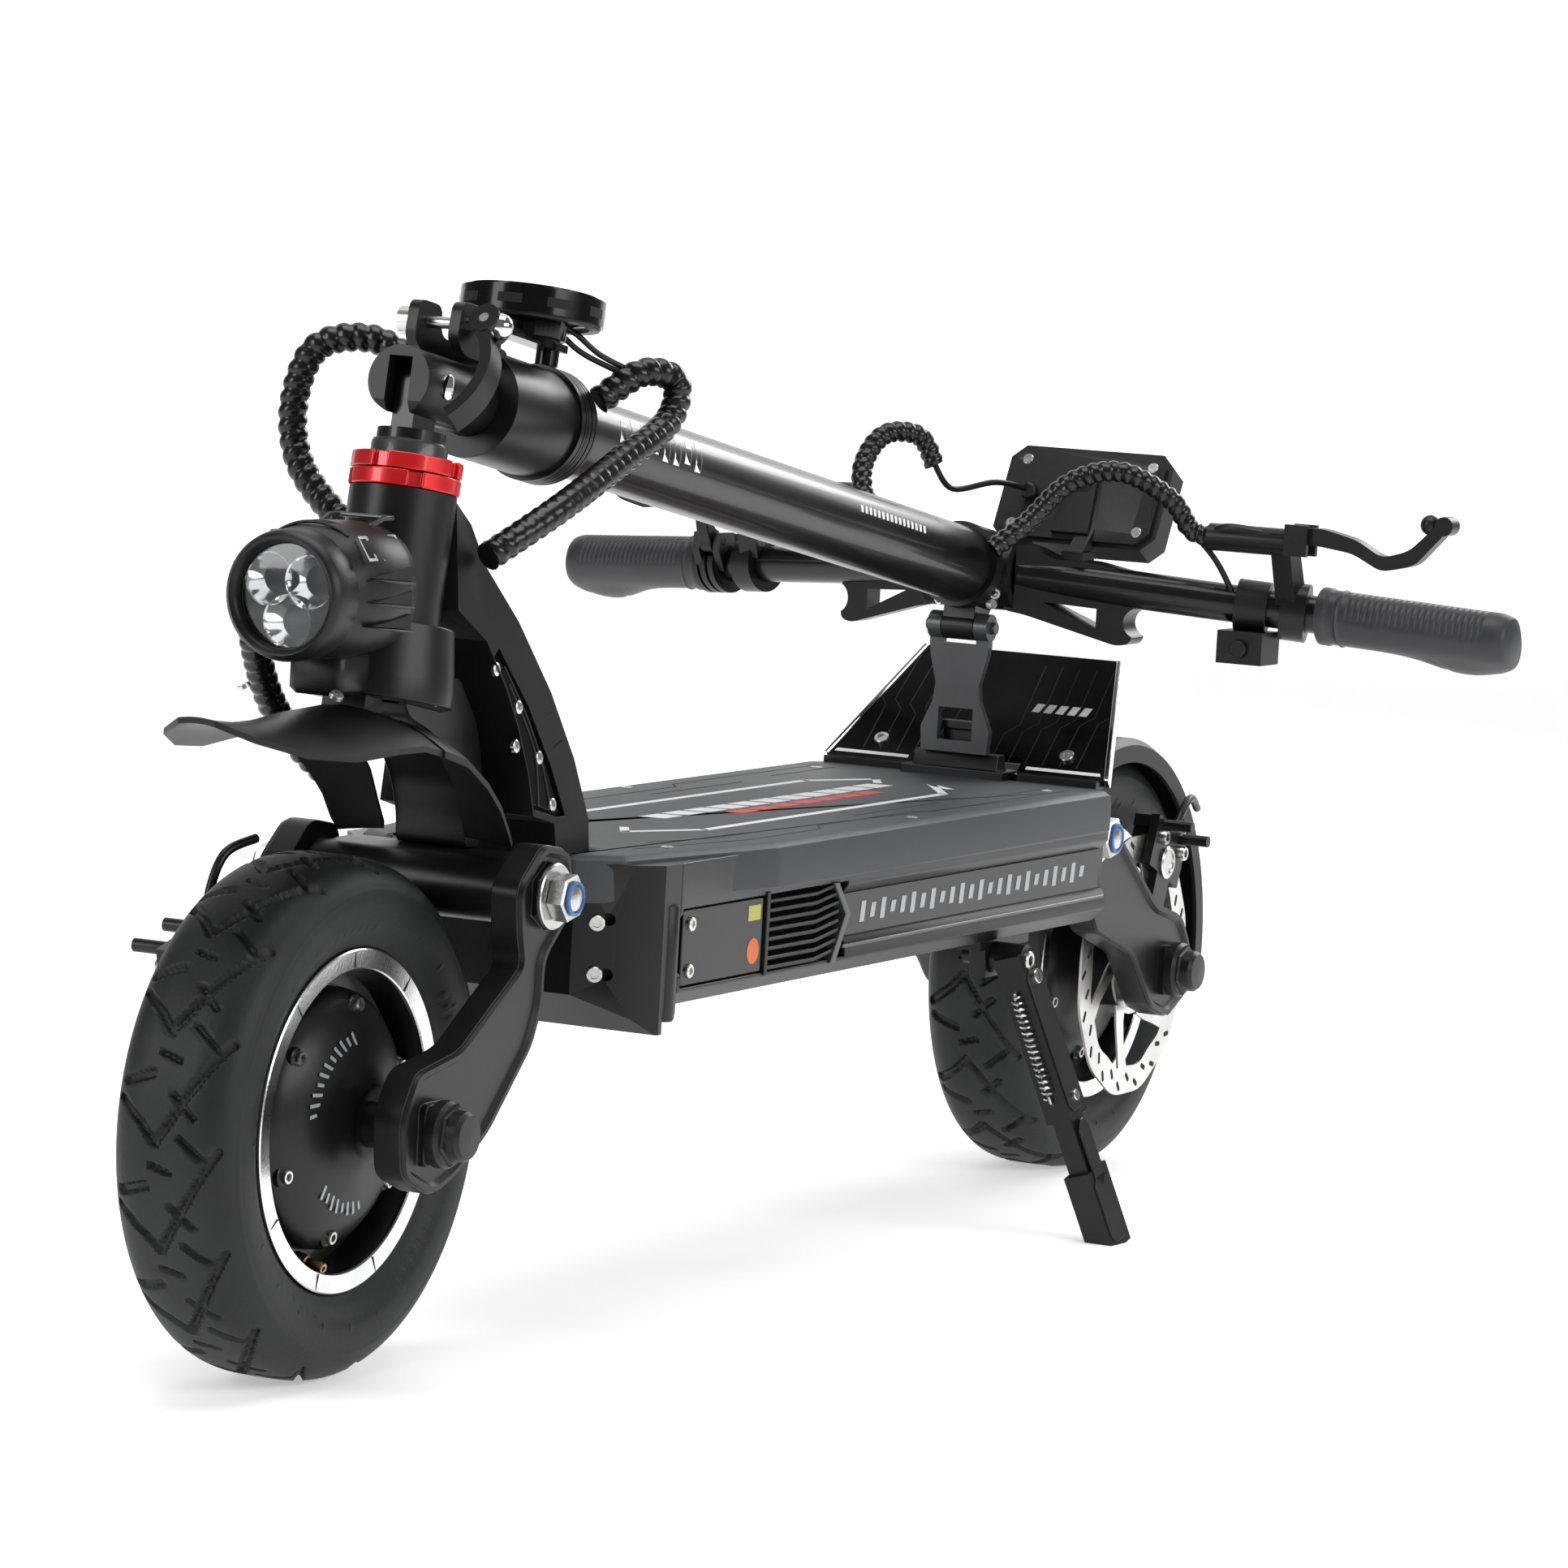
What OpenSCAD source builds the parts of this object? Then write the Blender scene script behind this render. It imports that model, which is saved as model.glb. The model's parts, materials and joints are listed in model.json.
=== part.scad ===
// Folding dual-motor kick scooter, folded: the stem lies back over the deck.
// +X points forward, +Y to the rider's left, +Z up. The origin is on the ground,
// midway between the two axles. All sizes are in millimetres.

/* [Wheels] */
// Distance between the two axles
wheelbase = 896; // [860:1:940]
// Outer radius of a tyre
tyre_r = 127.5; // [124:0.5:129]
// Overall width of a tyre
tyre_w = 68; // [60:1:72]
// Width of the flat tread that touches the ground
tread_w = 38; // [30:1:42]
// Outer radius of the rim, where the tyre beads sit
rim_r = 84; // [80:0.5:88]
// Overall width of the rim
rim_w = 55; // [48:1:56]
// Radius of the hub-motor cover
motor_r = 64; // [56:0.5:66]
// Radius of the brake rotor
rotor_r = 80; // [70:1:82]
// Distance of the rotor's middle plane from the wheel's middle plane
rotor_y = 50; // [48:0.5:52]

/* [Suspension] */
// Height of the front arm pivot
front_pivot_z = 234; // [228:1:240]
// Distance of the front arm pivot behind the front axle
front_pivot_back = 101; // [96:1:106]
// Height of the rear arm pivot
rear_pivot_z = 217; // [210:1:222]
// Distance of the rear arm pivot ahead of the rear axle
rear_pivot_ahead = 128; // [122:1:134]
// Inner face of each swing arm, from the middle plane
arm_in = 58; // [57:0.5:60]
// Thickness of each swing arm
arm_t = 15; // [12:0.5:18]
// Radius of the pivot shafts
pivot_r = 9; // [7:0.5:10]
// Radius of the cartridge barrels around the pivot shafts
barrel_r = 16; // [13:0.5:17]

/* [Deck] */
// Width of the deck mat
mat_w = 200; // [180:1:220]
// Height of the standing surface
deck_z = 248; // [244:1:254]
// Thickness of the mat at its rolled rim
mat_rim = 24; // [18:1:30]
// Front end of the deck body
deck_front = 284; // [276:1:288]
// Rear end of the deck body, behind the origin
deck_rear = 300; // [280:1:310]
// Height of the deck underside
deck_floor = 170; // [160:1:180]
// Width of the deck body
body_w = 186; // [170:1:200]
// Tilt of the kick plate behind the deck
plate_tilt = 41; // [35:1:45]
// Length of the kick plate
plate_l = 98; // [80:1:102]

/* [Steering] */
// Backward lean of the steering axis
lean = 10; // [8:0.5:12]
// Radius of the steerer
steerer_r = 17; // [15:0.5:18]
// Radius of the head tube
head_r = 26.5; // [25:0.5:28]
// Radius of the red lock rings
ring_r = 27.5; // [26:0.5:29]

/* [Stem] */
// Height of the fold pin
fold_z = 480; // [474:1:486]
// Dip of the folded stem below the horizontal
stem_dip = 9.5; // [8:0.5:10]
// Radius of the fold barrel
fold_r = 17; // [16:0.5:18]
// Radius of the fold pin
fold_pin_r = 5; // [4:0.5:6]
// Radius of the stem tube
stem_r = 22; // [20:0.5:24]
// Radius of the lock collar
collar_r = 28; // [27:0.5:30]
// Distance from the fold pin to the handlebar clamp
stem_l = 679; // [640:1:690]
// Half of the overall handlebar width
bar_half = 306; // [280:1:312]
// Radius of the handlebar
bar_r = 11; // [10:0.5:12]
// Radius of the grips
grip_r = 17; // [15:0.5:19]

/* [Clearances] */
// Radial clearance of a pin or shaft in its hole
run_fit = 0.05; // [0.02:0.01:0.1]
// Gap between parts that pass each other
gap = 0.5; // [0.3:0.1:1]
// Gap between seated parts of one body
seat = 0.2; // [0.1:0.05:0.3]

/* [Hidden] */
$fn = 64;

SATIN = [0.09, 0.09, 0.10];
GLOSS = [0.05, 0.05, 0.055];
RUBBER = [0.12, 0.12, 0.125];
GREY = [0.26, 0.26, 0.27];
STEEL = [0.75, 0.75, 0.77];
RED = [0.78, 0.05, 0.06];

half_base = wheelbase / 2;
front_axle = [half_base, 0, tyre_r];
rear_axle = [-half_base, 0, tyre_r];
front_pivot = [half_base - front_pivot_back, 0, front_pivot_z];
rear_pivot = [-half_base + rear_pivot_ahead, 0, rear_pivot_z];
arm_out = arm_in + arm_t;
axle_r = 6;
housing_y = arm_in - 1.5;

// The steering axis passes through the fold pin, a short trail ahead of the front contact.
trail = 7;
fold_x = half_base + trail - fold_z * tan(lean);
fold_pin_at = [fold_x, 0, fold_z];

// Heights along the steering axis, from the fold pin downwards.
steerer_top = -23;
ring_top = -36;
ring_h = 8;
ring_gap = 0.4;
head_top = ring_top - 2 * ring_h - 2 * ring_gap;
head_bottom = -117;
crown_top = head_bottom - gap;
crown_bottom = -156;

// Stations along the stem, from the fold pin towards the handlebar.
barrel_front = 20;
barrel_l = 62;
collar_a = 52;
collar_b = 118;
collar_ring_b = 134;
stem_a = 136;

// ---------------------------------------------------------------- helpers

// Cylinder from point p to point q.
module rod(p, q, r) {
    d = q - p;
    h = norm(d);
    translate(p) rotate([0, acos(d.z / h), atan2(d.y, d.x)]) cylinder(h = h, r = r);
}

// Cylinder along Y, centred on the XZ point of p.
module bar_y(p, r, y0, y1) {
    translate([p.x, y1, p.z]) rotate([90, 0, 0]) cylinder(h = y1 - y0, r = r);
}

// Outline in X and Z, extruded from y0 to y1.
module slab_y(points, y0, y1) {
    translate([0, y1, 0]) rotate([90, 0, 0]) linear_extrude(y1 - y0) polygon(points);
}

// Outline in Y and Z, extruded from x0 to x1.
module slab_x(points, x0, x1) {
    translate([x0, 0, 0]) rotate([90, 0, 90]) linear_extrude(x1 - x0) polygon(points);
}

// Outline in X and Y, extruded from z0 to z1.
module slab_z(points, z0, z1) {
    translate([0, 0, z0]) linear_extrude(z1 - z0) polygon(points);
}

// Box from its low corner to its high corner.
module block(a, b) {
    translate(a) cube(b - a);
}

module both_sides() {
    children();
    mirror([0, 1, 0]) children();
}

// Closed outline from its half: mirrored() flips the second coordinate, paired() the first.
function mirrored(pts) = concat(pts, [for (i = [len(pts) - 1:-1:0]) [pts[i].x, -pts[i].y]]);
function paired(pts) = concat(pts, [for (i = [len(pts) - 1:-1:0]) [-pts[i].x, pts[i].y]]);

// Outline whose corners are rounded by a smooth curve of reach r.
function rounded(pts, r, n = 4) = let (c = len(pts)) [
    for (i = [0:c - 1])
        let (v = pts[i], p = pts[(i + c - 1) % c], q = pts[(i + 1) % c],
            dp = norm(p - v), dq = norm(q - v), d = min(r, dp / 2.1, dq / 2.1),
            a = v + (p - v) * d / dp, b = v + (q - v) * d / dq)
        for (k = [0:n])
            let (t = k / n) (1 - t) * (1 - t) * a + 2 * t * (1 - t) * v + t * t * b
];

// Points of an arc about c, from angle a0 to a1.
function arc(c, r, a0, a1, n = 12) =
    [for (k = [0:n]) let (t = a0 + (a1 - a0) * k / n) [c.x + r * cos(t), c.y + r * sin(t)]];

// Frame whose Z runs up the steering axis and whose origin is the fold pin.
module on_steering() {
    translate(fold_pin_at) rotate([0, -lean, 0]) children();
}

// Frame of the folded stem: -X runs from the fold pin towards the handlebar.
module on_stem() {
    translate(fold_pin_at) rotate([0, -stem_dip, 0]) children();
}

// Point of the stem frame, in the frame of the whole part.
function stem_point(t, y, z) = [
    fold_x - t * cos(stem_dip) - z * sin(stem_dip), y,
    fold_z - t * sin(stem_dip) + z * cos(stem_dip)
];

// Cylinder along the stem, from station a to station b.
module along_stem(a, b, r) {
    translate([-b, 0, 0]) rotate([0, 90, 0]) cylinder(h = b - a, r = r);
}

// Tube swept along a route as one closed polyhedron.
function unit(v) = v / norm(v);
function smooth(pts, n) = let (c = len(pts) - 1) [
    for (i = [0:c - 1]) for (k = [0:n - 1])
        let (t = k / n, p0 = pts[max(i - 1, 0)], p1 = pts[i], p2 = pts[i + 1],
            p3 = pts[min(i + 2, c)])
        0.5 * (2 * p1 + (p2 - p0) * t + (2 * p0 - 5 * p1 + 4 * p2 - p3) * t * t
            + (3 * p1 - p0 - 3 * p2 + p3) * t * t * t),
    pts[c]
];
module tube(route, r, steps = 3, sides = 8) {
    path = smooth(route, steps);
    last = len(path) - 1;
    points = [for (i = [0:last])
        let (dir = unit(path[min(i + 1, last)] - path[max(i - 1, 0)]),
            ref = abs(dir.y) < 0.9 ? [0, 1, 0] : [1, 0, 0],
            u = unit(cross(dir, ref)), v = cross(dir, u))
        for (k = [0:sides - 1])
            path[i] + r * (u * cos(360 * k / sides) + v * sin(360 * k / sides))];
    walls = [for (i = [0:last - 1], k = [0:sides - 1])
        let (a = i * sides + k, b = i * sides + (k + 1) % sides)
        [a, a + sides, b + sides, b]];
    first_cap = [for (k = [0:sides - 1]) k];
    last_cap = [for (k = [sides - 1:-1:0]) last * sides + k];
    polyhedron(points, concat(walls, [first_cap, last_cap]), convexity = 6);
}

// ---------------------------------------------------------------- wheels

module tyre(axle) {
    bead_y = rim_w / 2 - 2.5;
    side = [
        [rim_r + seat, bead_y], [rim_r + 6, bead_y + 2], [tyre_r - 24, tyre_w / 2],
        [tyre_r - 11, tyre_w / 2 - 1.5], [tyre_r - 2.5, tread_w / 2 + 5.5], [tyre_r, tread_w / 2]
    ];
    lining = [
        [tyre_r - 14, tread_w / 2], [tyre_r - 22, tyre_w / 2 - 10], [rim_r + seat, bead_y - 7]
    ];
    section = concat(rounded(mirrored(side), 4), [for (k = [2:-1:0]) [lining[k].x, -lining[k].y]], lining);
    translate(axle) rotate([90, 0, 0]) rotate_extrude($fn = 96) polygon(section);
}

module rim(axle) {
    lip = 10;
    well_r = rim_r - 8;
    web = 8;
    profile = [
        [rim_r, rim_w / 2], [rim_r, -rim_w / 2], [rim_r - lip, -rim_w / 2],
        [well_r - 4, -web], [motor_r + 0.4, -web], [motor_r + 0.4, web], [well_r - 4, web],
        [rim_r - lip, rim_w / 2]
    ];
    translate(axle) rotate([90, 0, 0]) rotate_extrude($fn = 96) polygon(profile);
}

// The side argument is the sign of Y on which the rotor sits.
module motor(axle, side) {
    face = 24;
    boss = rotor_y - 1 - seat;
    profile = [
        [axle_r + 5 + run_fit, -face - 16], [18, -face - 16], [24, -face - 10], [52, -face],
        [motor_r - 3, -face + 4], [motor_r, -face + 8], [motor_r, face - 8],
        [motor_r - 3, face - 4], [52, face], [34, face + 7], [26, face + 12], [26, boss],
        [axle_r + 5 + run_fit, boss]
    ];
    color(GLOSS) translate(axle) rotate([side > 0 ? -90 : 90, 0, 0]) difference() {
        rotate_extrude($fn = 96) polygon(profile);
        for (k = [0:5]) for (z = [-face - 5, face - 3])
            rotate([0, 0, 60 * k + 30]) translate([56, 0, z]) cylinder(h = 8, r = 4.2);
    }
}

module rotor(axle, side) {
    thickness = 2;
    bore = 16;
    y0 = side * rotor_y + thickness / 2;
    window = concat(arc([0, 0], rotor_r - 17, 4, 56), arc([0, 0], 28, 31, -11));
    color(STEEL) translate(axle + [0, y0, 0]) rotate([90, 0, 0]) difference() {
        cylinder(h = thickness, r = rotor_r);
        translate([0, 0, -1]) cylinder(h = thickness + 2, r = bore);
        for (k = [0:5]) rotate([0, 0, 60 * k]) translate([0, 0, -1])
            linear_extrude(thickness + 2) polygon(window);
        for (k = [0:17])
            rotate([0, 0, 20 * k]) translate([rotor_r - 8, 0, -1]) cylinder(h = thickness + 2, r = 2.6);
    }
}

module front_tyre() { color(RUBBER) tyre(front_axle); }
module rear_tyre() { color(RUBBER) tyre(rear_axle); }
module front_rim() { color(STEEL) rim(front_axle); }
module rear_rim() { color(STEEL) rim(rear_axle); }
module front_motor() { motor(front_axle, -1); }
module rear_motor() { motor(rear_axle, 1); }
module front_rotor() { rotor(front_axle, -1); }
module rear_rotor() { rotor(rear_axle, 1); }

// ---------------------------------------------------------------- swing arms

// Forged arm outline between the pivot and the axle, for an arm that runs from the pivot
// down and along +X; the rear arm is the same arm turned to point backwards.
function front_outline() = rounded([
    front_pivot_2d() + [-18, 22], front_pivot_2d() + [6, 26], front_pivot_2d() + [30, 6],
    front_pivot_2d() + [27, -18], front_pivot_2d() + [22, -33],
    front_axle_2d() + [-22, 38], front_axle_2d() + [20, 31], front_axle_2d() + [33, 10],
    front_axle_2d() + [29, -19], front_axle_2d() + [0, -31], front_axle_2d() + [-22, -24],
    front_axle_2d() + [-52, -6], front_pivot_2d() + [9, -74], front_pivot_2d() + [0, -54],
    front_pivot_2d() + [0, -32], front_pivot_2d() + [-23, -12], front_pivot_2d() + [-23, 14]
], 7);
function front_pivot_2d() = [front_pivot.x, front_pivot.z];
function front_axle_2d() = [front_axle.x, front_axle.z];
function rear_pivot_2d() = [rear_pivot.x, rear_pivot.z];
function rear_axle_2d() = [rear_axle.x, rear_axle.z];
function rear_outline() = rounded([
    rear_pivot_2d() + [13, 16], rear_pivot_2d() + [-8, 22], rear_pivot_2d() + [-30, 6],
    rear_axle_2d() + [26, 42], rear_axle_2d() + [-14, 32], rear_axle_2d() + [-30, 12],
    rear_axle_2d() + [-28, -18], rear_axle_2d() + [0, -30], rear_axle_2d() + [26, -22],
    rear_axle_2d() + [62, 14], rear_pivot_2d() + [-12, -58], rear_pivot_2d() + [4, -34],
    rear_pivot_2d() + [17, -8]
], 7);

module swing_arm(outline, pivot, axle, side) {
    y0 = side > 0 ? arm_in : -arm_out;
    boss_t = 4;
    boss_r = 17;
    boss_y = side > 0 ? [arm_out - 1, arm_out + boss_t] : [-arm_out - boss_t, -arm_out + 1];
    hex = [for (k = [0:5]) [pivot.x + boss_r * cos(60 * k + 30), pivot.z + boss_r * sin(60 * k + 30)]];
    clamp = rounded([
        [axle.x - 15, axle.z - 15], [axle.x + 15, axle.z - 15], [axle.x + 15, axle.z + 15],
        [axle.x - 15, axle.z + 15]], 5);
    difference() {
        union() {
            slab_y(outline, y0, y0 + arm_t);
            slab_y(hex, boss_y[0], boss_y[1]);
            slab_y(clamp, boss_y[0], boss_y[1]);
        }
        bar_y(pivot, pivot_r + run_fit, -arm_out - 9, arm_out + 9);
        bar_y(axle, axle_r + run_fit, -arm_out - 9, arm_out + 9);
    }
}

// Pivot shaft and wheel axle of one swing arm pair, with washers and nuts.
module shafts(pivot, axle) {
    face = arm_out + 4 + seat;
    washer_t = 2;
    nut_l = 10;
    cap_l = 12;
    bar_y(pivot, pivot_r, -face - 1, face + 1);
    both_sides() {
        bar_y(pivot, 15, face, face + washer_t);
        translate([pivot.x, face + washer_t + nut_l - 1, pivot.z])
            rotate([90, 0, 0]) cylinder(h = nut_l, r = 11.5, $fn = 6);
        bar_y(pivot, 8, face + washer_t, face + washer_t + nut_l + 1);
        bar_y(axle, 14, face, face + washer_t);
        translate([axle.x, face + washer_t + cap_l - 2, axle.z])
            rotate([90, 0, 0]) cylinder(h = cap_l - 1, r = 12, $fn = 6);
        bar_y(axle, 7.5, face + washer_t, face + washer_t + cap_l);
    }
    bar_y(axle, axle_r, -face - 1, face + 1);
    both_sides() bar_y(axle, axle_r + 5, 8, arm_in - seat);
}

// Caliper that straddles the rotor at polar angle a about the axle.
module caliper(axle, side, a) {
    reach = rotor_r - 9;
    slot = 4;
    flip = side > 0 ? 0 : 1;
    mirror([0, flip, 0]) translate([axle.x, 0, axle.z]) rotate([0, -a, 0]) difference() {
        union() {
            block([reach - 14, rotor_y + slot / 2, -24], [reach + 18, rotor_y + 7.6, 24]);
            block([reach + 10.5, rotor_y - 10, -21], [reach + 18, rotor_y + 5, 21]);
            block([reach - 10, rotor_y - 10, -19], [reach + 12, rotor_y - slot / 2, 19]);
            block([32, rotor_y + slot / 2, -10], [reach, rotor_y + 7.6, 10]);
            for (z = [-14, 14])
                bar_y([reach + 14.5, 0, z], 3.4, rotor_y + 6, rotor_y + 26);
            bar_y([reach + 3, 0, 0], 5.5, rotor_y + 6, rotor_y + 7.6);
        }
    }
}

module front_arm_left() { color(SATIN) swing_arm(front_outline(), front_pivot, front_axle, 1); }
module front_arm_right() { color(SATIN) swing_arm(front_outline(), front_pivot, front_axle, -1); }
module rear_arm_left() { color(SATIN) swing_arm(rear_outline(), rear_pivot, rear_axle, 1); }
module rear_arm_right() { color(SATIN) swing_arm(rear_outline(), rear_pivot, rear_axle, -1); }
module front_shafts() { color(STEEL) shafts(front_pivot, front_axle); }
module rear_shafts() { color(STEEL) shafts(rear_pivot, rear_axle); }
module front_caliper() { color(SATIN) caliper(front_axle, -1, 74); }
module rear_caliper() { color(SATIN) caliper(rear_axle, 1, 112); }

// Mudguard over the rear tyre, bolted to a cross-bar between the two rear arms.
fender_gap = 6.5;
fender_skin = 2.5;
fender_half = tyre_w / 2 + 6;
cross_angle = 44;
cross_r = 6;

// Arched shell about a wheel axis, from angle a0 to angle a1 above +X.
module fender_arc(a0, a1, section) {
    rotate([90, 0, 0]) rotate([0, 0, a0]) rotate_extrude(angle = a1 - a0, $fn = 96) polygon(section);
}

module rear_fender() {
    r = tyre_r + fender_gap;
    skin = fender_skin;
    w = fender_half;
    flange = 12;
    shell = [
        [r - flange, w], [r - flange, w - skin], [r - 2, w - skin - 2], [r, w - skin - 5],
        [r, -w + skin + 5], [r - 2, -w + skin + 2], [r - flange, -w + skin], [r - flange, -w],
        [r + skin - 4, -w], [r + skin, -w + 6], [r + skin, w - 6], [r + skin - 4, w]
    ];
    tongue = [[r, 18], [r, -18], [r + skin, -18], [r + skin, 18]];
    cross = rear_axle + (r + skin + cross_r - 1) * [cos(cross_angle), 0, sin(cross_angle)];
    color(SATIN) union() {
        translate(rear_axle) fender_arc(62, 186, shell);
        translate(rear_axle) fender_arc(cross_angle, 63, tongue);
        bar_y(cross, cross_r, -arm_in + seat, arm_in - seat);
    }
}

// ---------------------------------------------------------------- deck

half_body = body_w / 2;
half_mat = mat_w / 2;
body_top = deck_z - 4;
nose_rear = 240;
window_x = [142, 236];
vent_x = [46, 140];
panel_z = [180, 220];

function nose_plan(grow) = mirrored([
    [nose_rear + seat, half_body + grow], [nose_rear + 18, half_body + grow],
    [nose_rear + 30, half_body - 10 + grow], [deck_front + grow, half_body - 38]
]);

module deck_frame() {
    section = paired([
        [half_body, body_top], [half_body, 218], [half_body - 3, 214], [half_body - 3, 190],
        [half_body, 186], [half_body, deck_floor + 8], [half_body - 8, deck_floor]
    ]);
    pocket = 8;
    color(SATIN) difference() {
        slab_x(section, -deck_rear, nose_rear);
        both_sides() {
            block([window_x[0] - seat, half_body - pocket, panel_z[0] - seat],
                [window_x[1] + seat, half_body + 1, panel_z[1] + seat]);
            block([vent_x[0] - seat, half_body - pocket, panel_z[0] - seat],
                [vent_x[1] + seat, half_body + 1, panel_z[1] + seat]);
        }
    }
}

module nose_block() {
    floor_z = deck_floor - 12;
    screw_z = [188, 216];
    color(SATIN) difference() {
        slab_z(nose_plan(0), floor_z, body_top);
        both_sides() block([nose_rear, half_body - 34, floor_z - 1], [nose_rear + 14, 200, floor_z + 9]);
        slab_y([[deck_front - 26, floor_z - 1], [deck_front + 9, floor_z - 1],
            [deck_front + 9, floor_z + 26]], -120, 120);
        for (side = [-1, 1]) for (z = screw_z)
            translate([nose_rear + 36, side * (half_body - 22), z]) rotate([0, 90, side * 56])
                translate([0, 0, -4]) cylinder(h = 12, r = 3.2);
    }
}

// Depth of the seat that the kick plate's foot has in the mat.
foot_step = 0.8;

// The mat is a skin whose rim rolls over the edges of the deck body.
module deck_mat() {
    front = deck_front + 6;
    outline = mirrored([
        [-deck_rear + 14, half_mat], [nose_rear - 96, half_mat], [deck_front - 12, half_mat - 22],
        [front, half_mat - 46]
    ]);
    rear = mirrored([[-deck_rear, half_mat - 14], [-deck_rear + 14, half_mat]]);
    color(GREY) difference() {
        union() {
            slab_z(outline, deck_z - mat_rim, deck_z);
            slab_z(rear, deck_z - mat_rim, deck_z);
        }
        translate([0, 0, -4 - seat]) {
            block([-deck_rear - 1, -half_body - seat, deck_z - mat_rim],
                [nose_rear + 1, half_body + seat, deck_z + seat]);
            slab_z(nose_plan(seat), deck_z - mat_rim, deck_z + seat);
        }
        block([252 - seat, -47, deck_z - 40], [front + 20, 47, deck_z + 1]);
        block([-deck_rear - 1, -36, deck_z - 4], [-deck_rear + 28, 36, deck_z + 1]);
        block([-deck_rear - 1, -half_mat - 1, deck_z - foot_step], [-deck_rear + 13, half_mat + 1, deck_z + 1]);
    }
}

// Glossy side window of the battery box, one on each side.
module side_windows() {
    color(GLOSS) both_sides() difference() {
        block([window_x[0], half_body - 7.5, panel_z[0]], [window_x[1], half_body - 1.5, panel_z[1]]);
        for (z = [panel_z[0] + 8, panel_z[1] - 7])
            translate([window_x[1] - 10, half_body + 1, z]) rotate([90, 0, 0]) cylinder(h = 5, r = 2.6);
    }
}

// Cooling fins of the controllers, one stack on each side.
module side_vents() {
    pitch = 5;
    count = floor((panel_z[1] - panel_z[0]) / pitch);
    color(SATIN) both_sides() {
        block([vent_x[0], half_body - 7.5, panel_z[0]], [vent_x[1], half_body - 5, panel_z[1]]);
        for (k = [0:count - 1])
            translate([0, 0, panel_z[0] + pitch * k])
                block([vent_x[0] + 6, half_body - 5.5, 1], [vent_x[1], half_body, 3]);
        block([vent_x[0], half_body - 5.5, panel_z[0]], [vent_x[0] + 4, half_body + 1.5, panel_z[1]]);
    }
}

neck_top_half = head_r - 1;
function neck_taper() = paired([
    [46, body_top + seat], [45, 262], [40, 296], [36, 328], [31, 364], [27, 392],
    [neck_top_half - 4, 430]
]);

// Arched neck from the nose of the deck up to the head tube.
module gooseneck() {
    foot_z = body_top + seat;
    outer = [
        [366, 424], [353, 413], [341, 392], [312, 364], [284, 328], [264, 294], [254, 264],
        [253, foot_z]
    ];
    inner = [
        [deck_front + 4, foot_z], [deck_front + 6, 263], [311, 268], [313, 290], [320, 312],
        [330, 332], [346, 356], [372, 372]
    ];
    band = 20;
    depth = 4;
    recess = [
        [334, 352], [308, 322], [289, 292], [278, 266], [287, 266], [310, 271], [312, 290],
        [319, 312], [329, 333], [340, 348]
    ];
    color(SATIN) difference() {
        union() {
            intersection() {
                slab_y(concat(outer, inner), -60, 60);
                slab_x(neck_taper(), 200, 400);
            }
            on_steering() translate([0, 0, head_bottom])
                cylinder(h = head_top - head_bottom, r = head_r);
        }
        on_steering() translate([0, 0, head_bottom - 1])
            cylinder(h = head_top - head_bottom + 2, r = steerer_r + run_fit);
        on_steering() translate([0, 0, head_bottom + 12])
            cylinder(h = head_top - head_bottom - 24, r = steerer_r + 4);
        on_steering() translate([0, 0, head_bottom - 40]) cylinder(h = 40, r = 42);
        both_sides() intersection() {
            slab_y(recess, 0, 60);
            difference() {
                slab_x([for (p = neck_taper()) p + [1, 0]], 200, 400);
                slab_x([for (p = neck_taper()) [p.x - sign(p.x) * depth, p.y]], 200, 400);
            }
        }
    }
}

// Dark cover plates screwed into the side recesses of the neck.
module neck_panels() {
    plate = [
        [330, 345.5], [308, 320], [290, 292], [281, 268], [287, 268], [308, 273], [310, 290],
        [317, 312], [327, 333], [336, 346]
    ];
    color(GLOSS) both_sides() intersection() {
        slab_y(plate, 0, 60);
        difference() {
            slab_x([for (p = neck_taper()) [p.x - sign(p.x) * 1.6, p.y]], 200, 400);
            slab_x([for (p = neck_taper()) [p.x - sign(p.x) * 3.7, p.y]], 200, 400);
        }
    }
}

// ---------------------------------------------------------------- kick plate and latch

plate_foot = [-deck_rear + 4, 0, deck_z + 4.2];

// Frame whose X runs up the kick plate from its foot and whose Z is the plate's normal.
module on_plate() {
    translate(plate_foot) rotate([0, plate_tilt, 0]) rotate([0, 0, 180]) children();
}

module kick_plate() {
    low = 92;
    high = 64;
    t = 5;
    hook_slot = 33.5;
    foot_z = deck_z - foot_step + seat;
    color(GLOSS) union() {
        on_plate() difference() {
            translate([0, 0, -t]) linear_extrude(t)
                polygon(mirrored([[0, low - 3], [plate_l, high - 3]]));
            for (side = [-1, 1]) translate([16, side * 60, -t - 1]) cylinder(h = t + 2, r = 2.6);
            block([-1, -hook_slot, -t - 1], [12, hook_slot, 1]);
        }
        difference() {
            block([-deck_rear, -low + 4, foot_z], [-deck_rear + 12, low - 4, deck_z + 4]);
            block([-deck_rear - 1, -hook_slot, deck_z - 2], [-deck_rear + 13, hook_slot, deck_z + 5]);
        }
        for (side = [-1, 1])
            slab_y([[-deck_rear + 1, foot_z], [-deck_rear + 11, foot_z],
                [-deck_rear - 16, deck_z + 15], [-deck_rear - 17, deck_z + 10],
                [-deck_rear - 6, foot_z]],
                side * 78 - 3, side * 78 + 3);
    }
}

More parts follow.
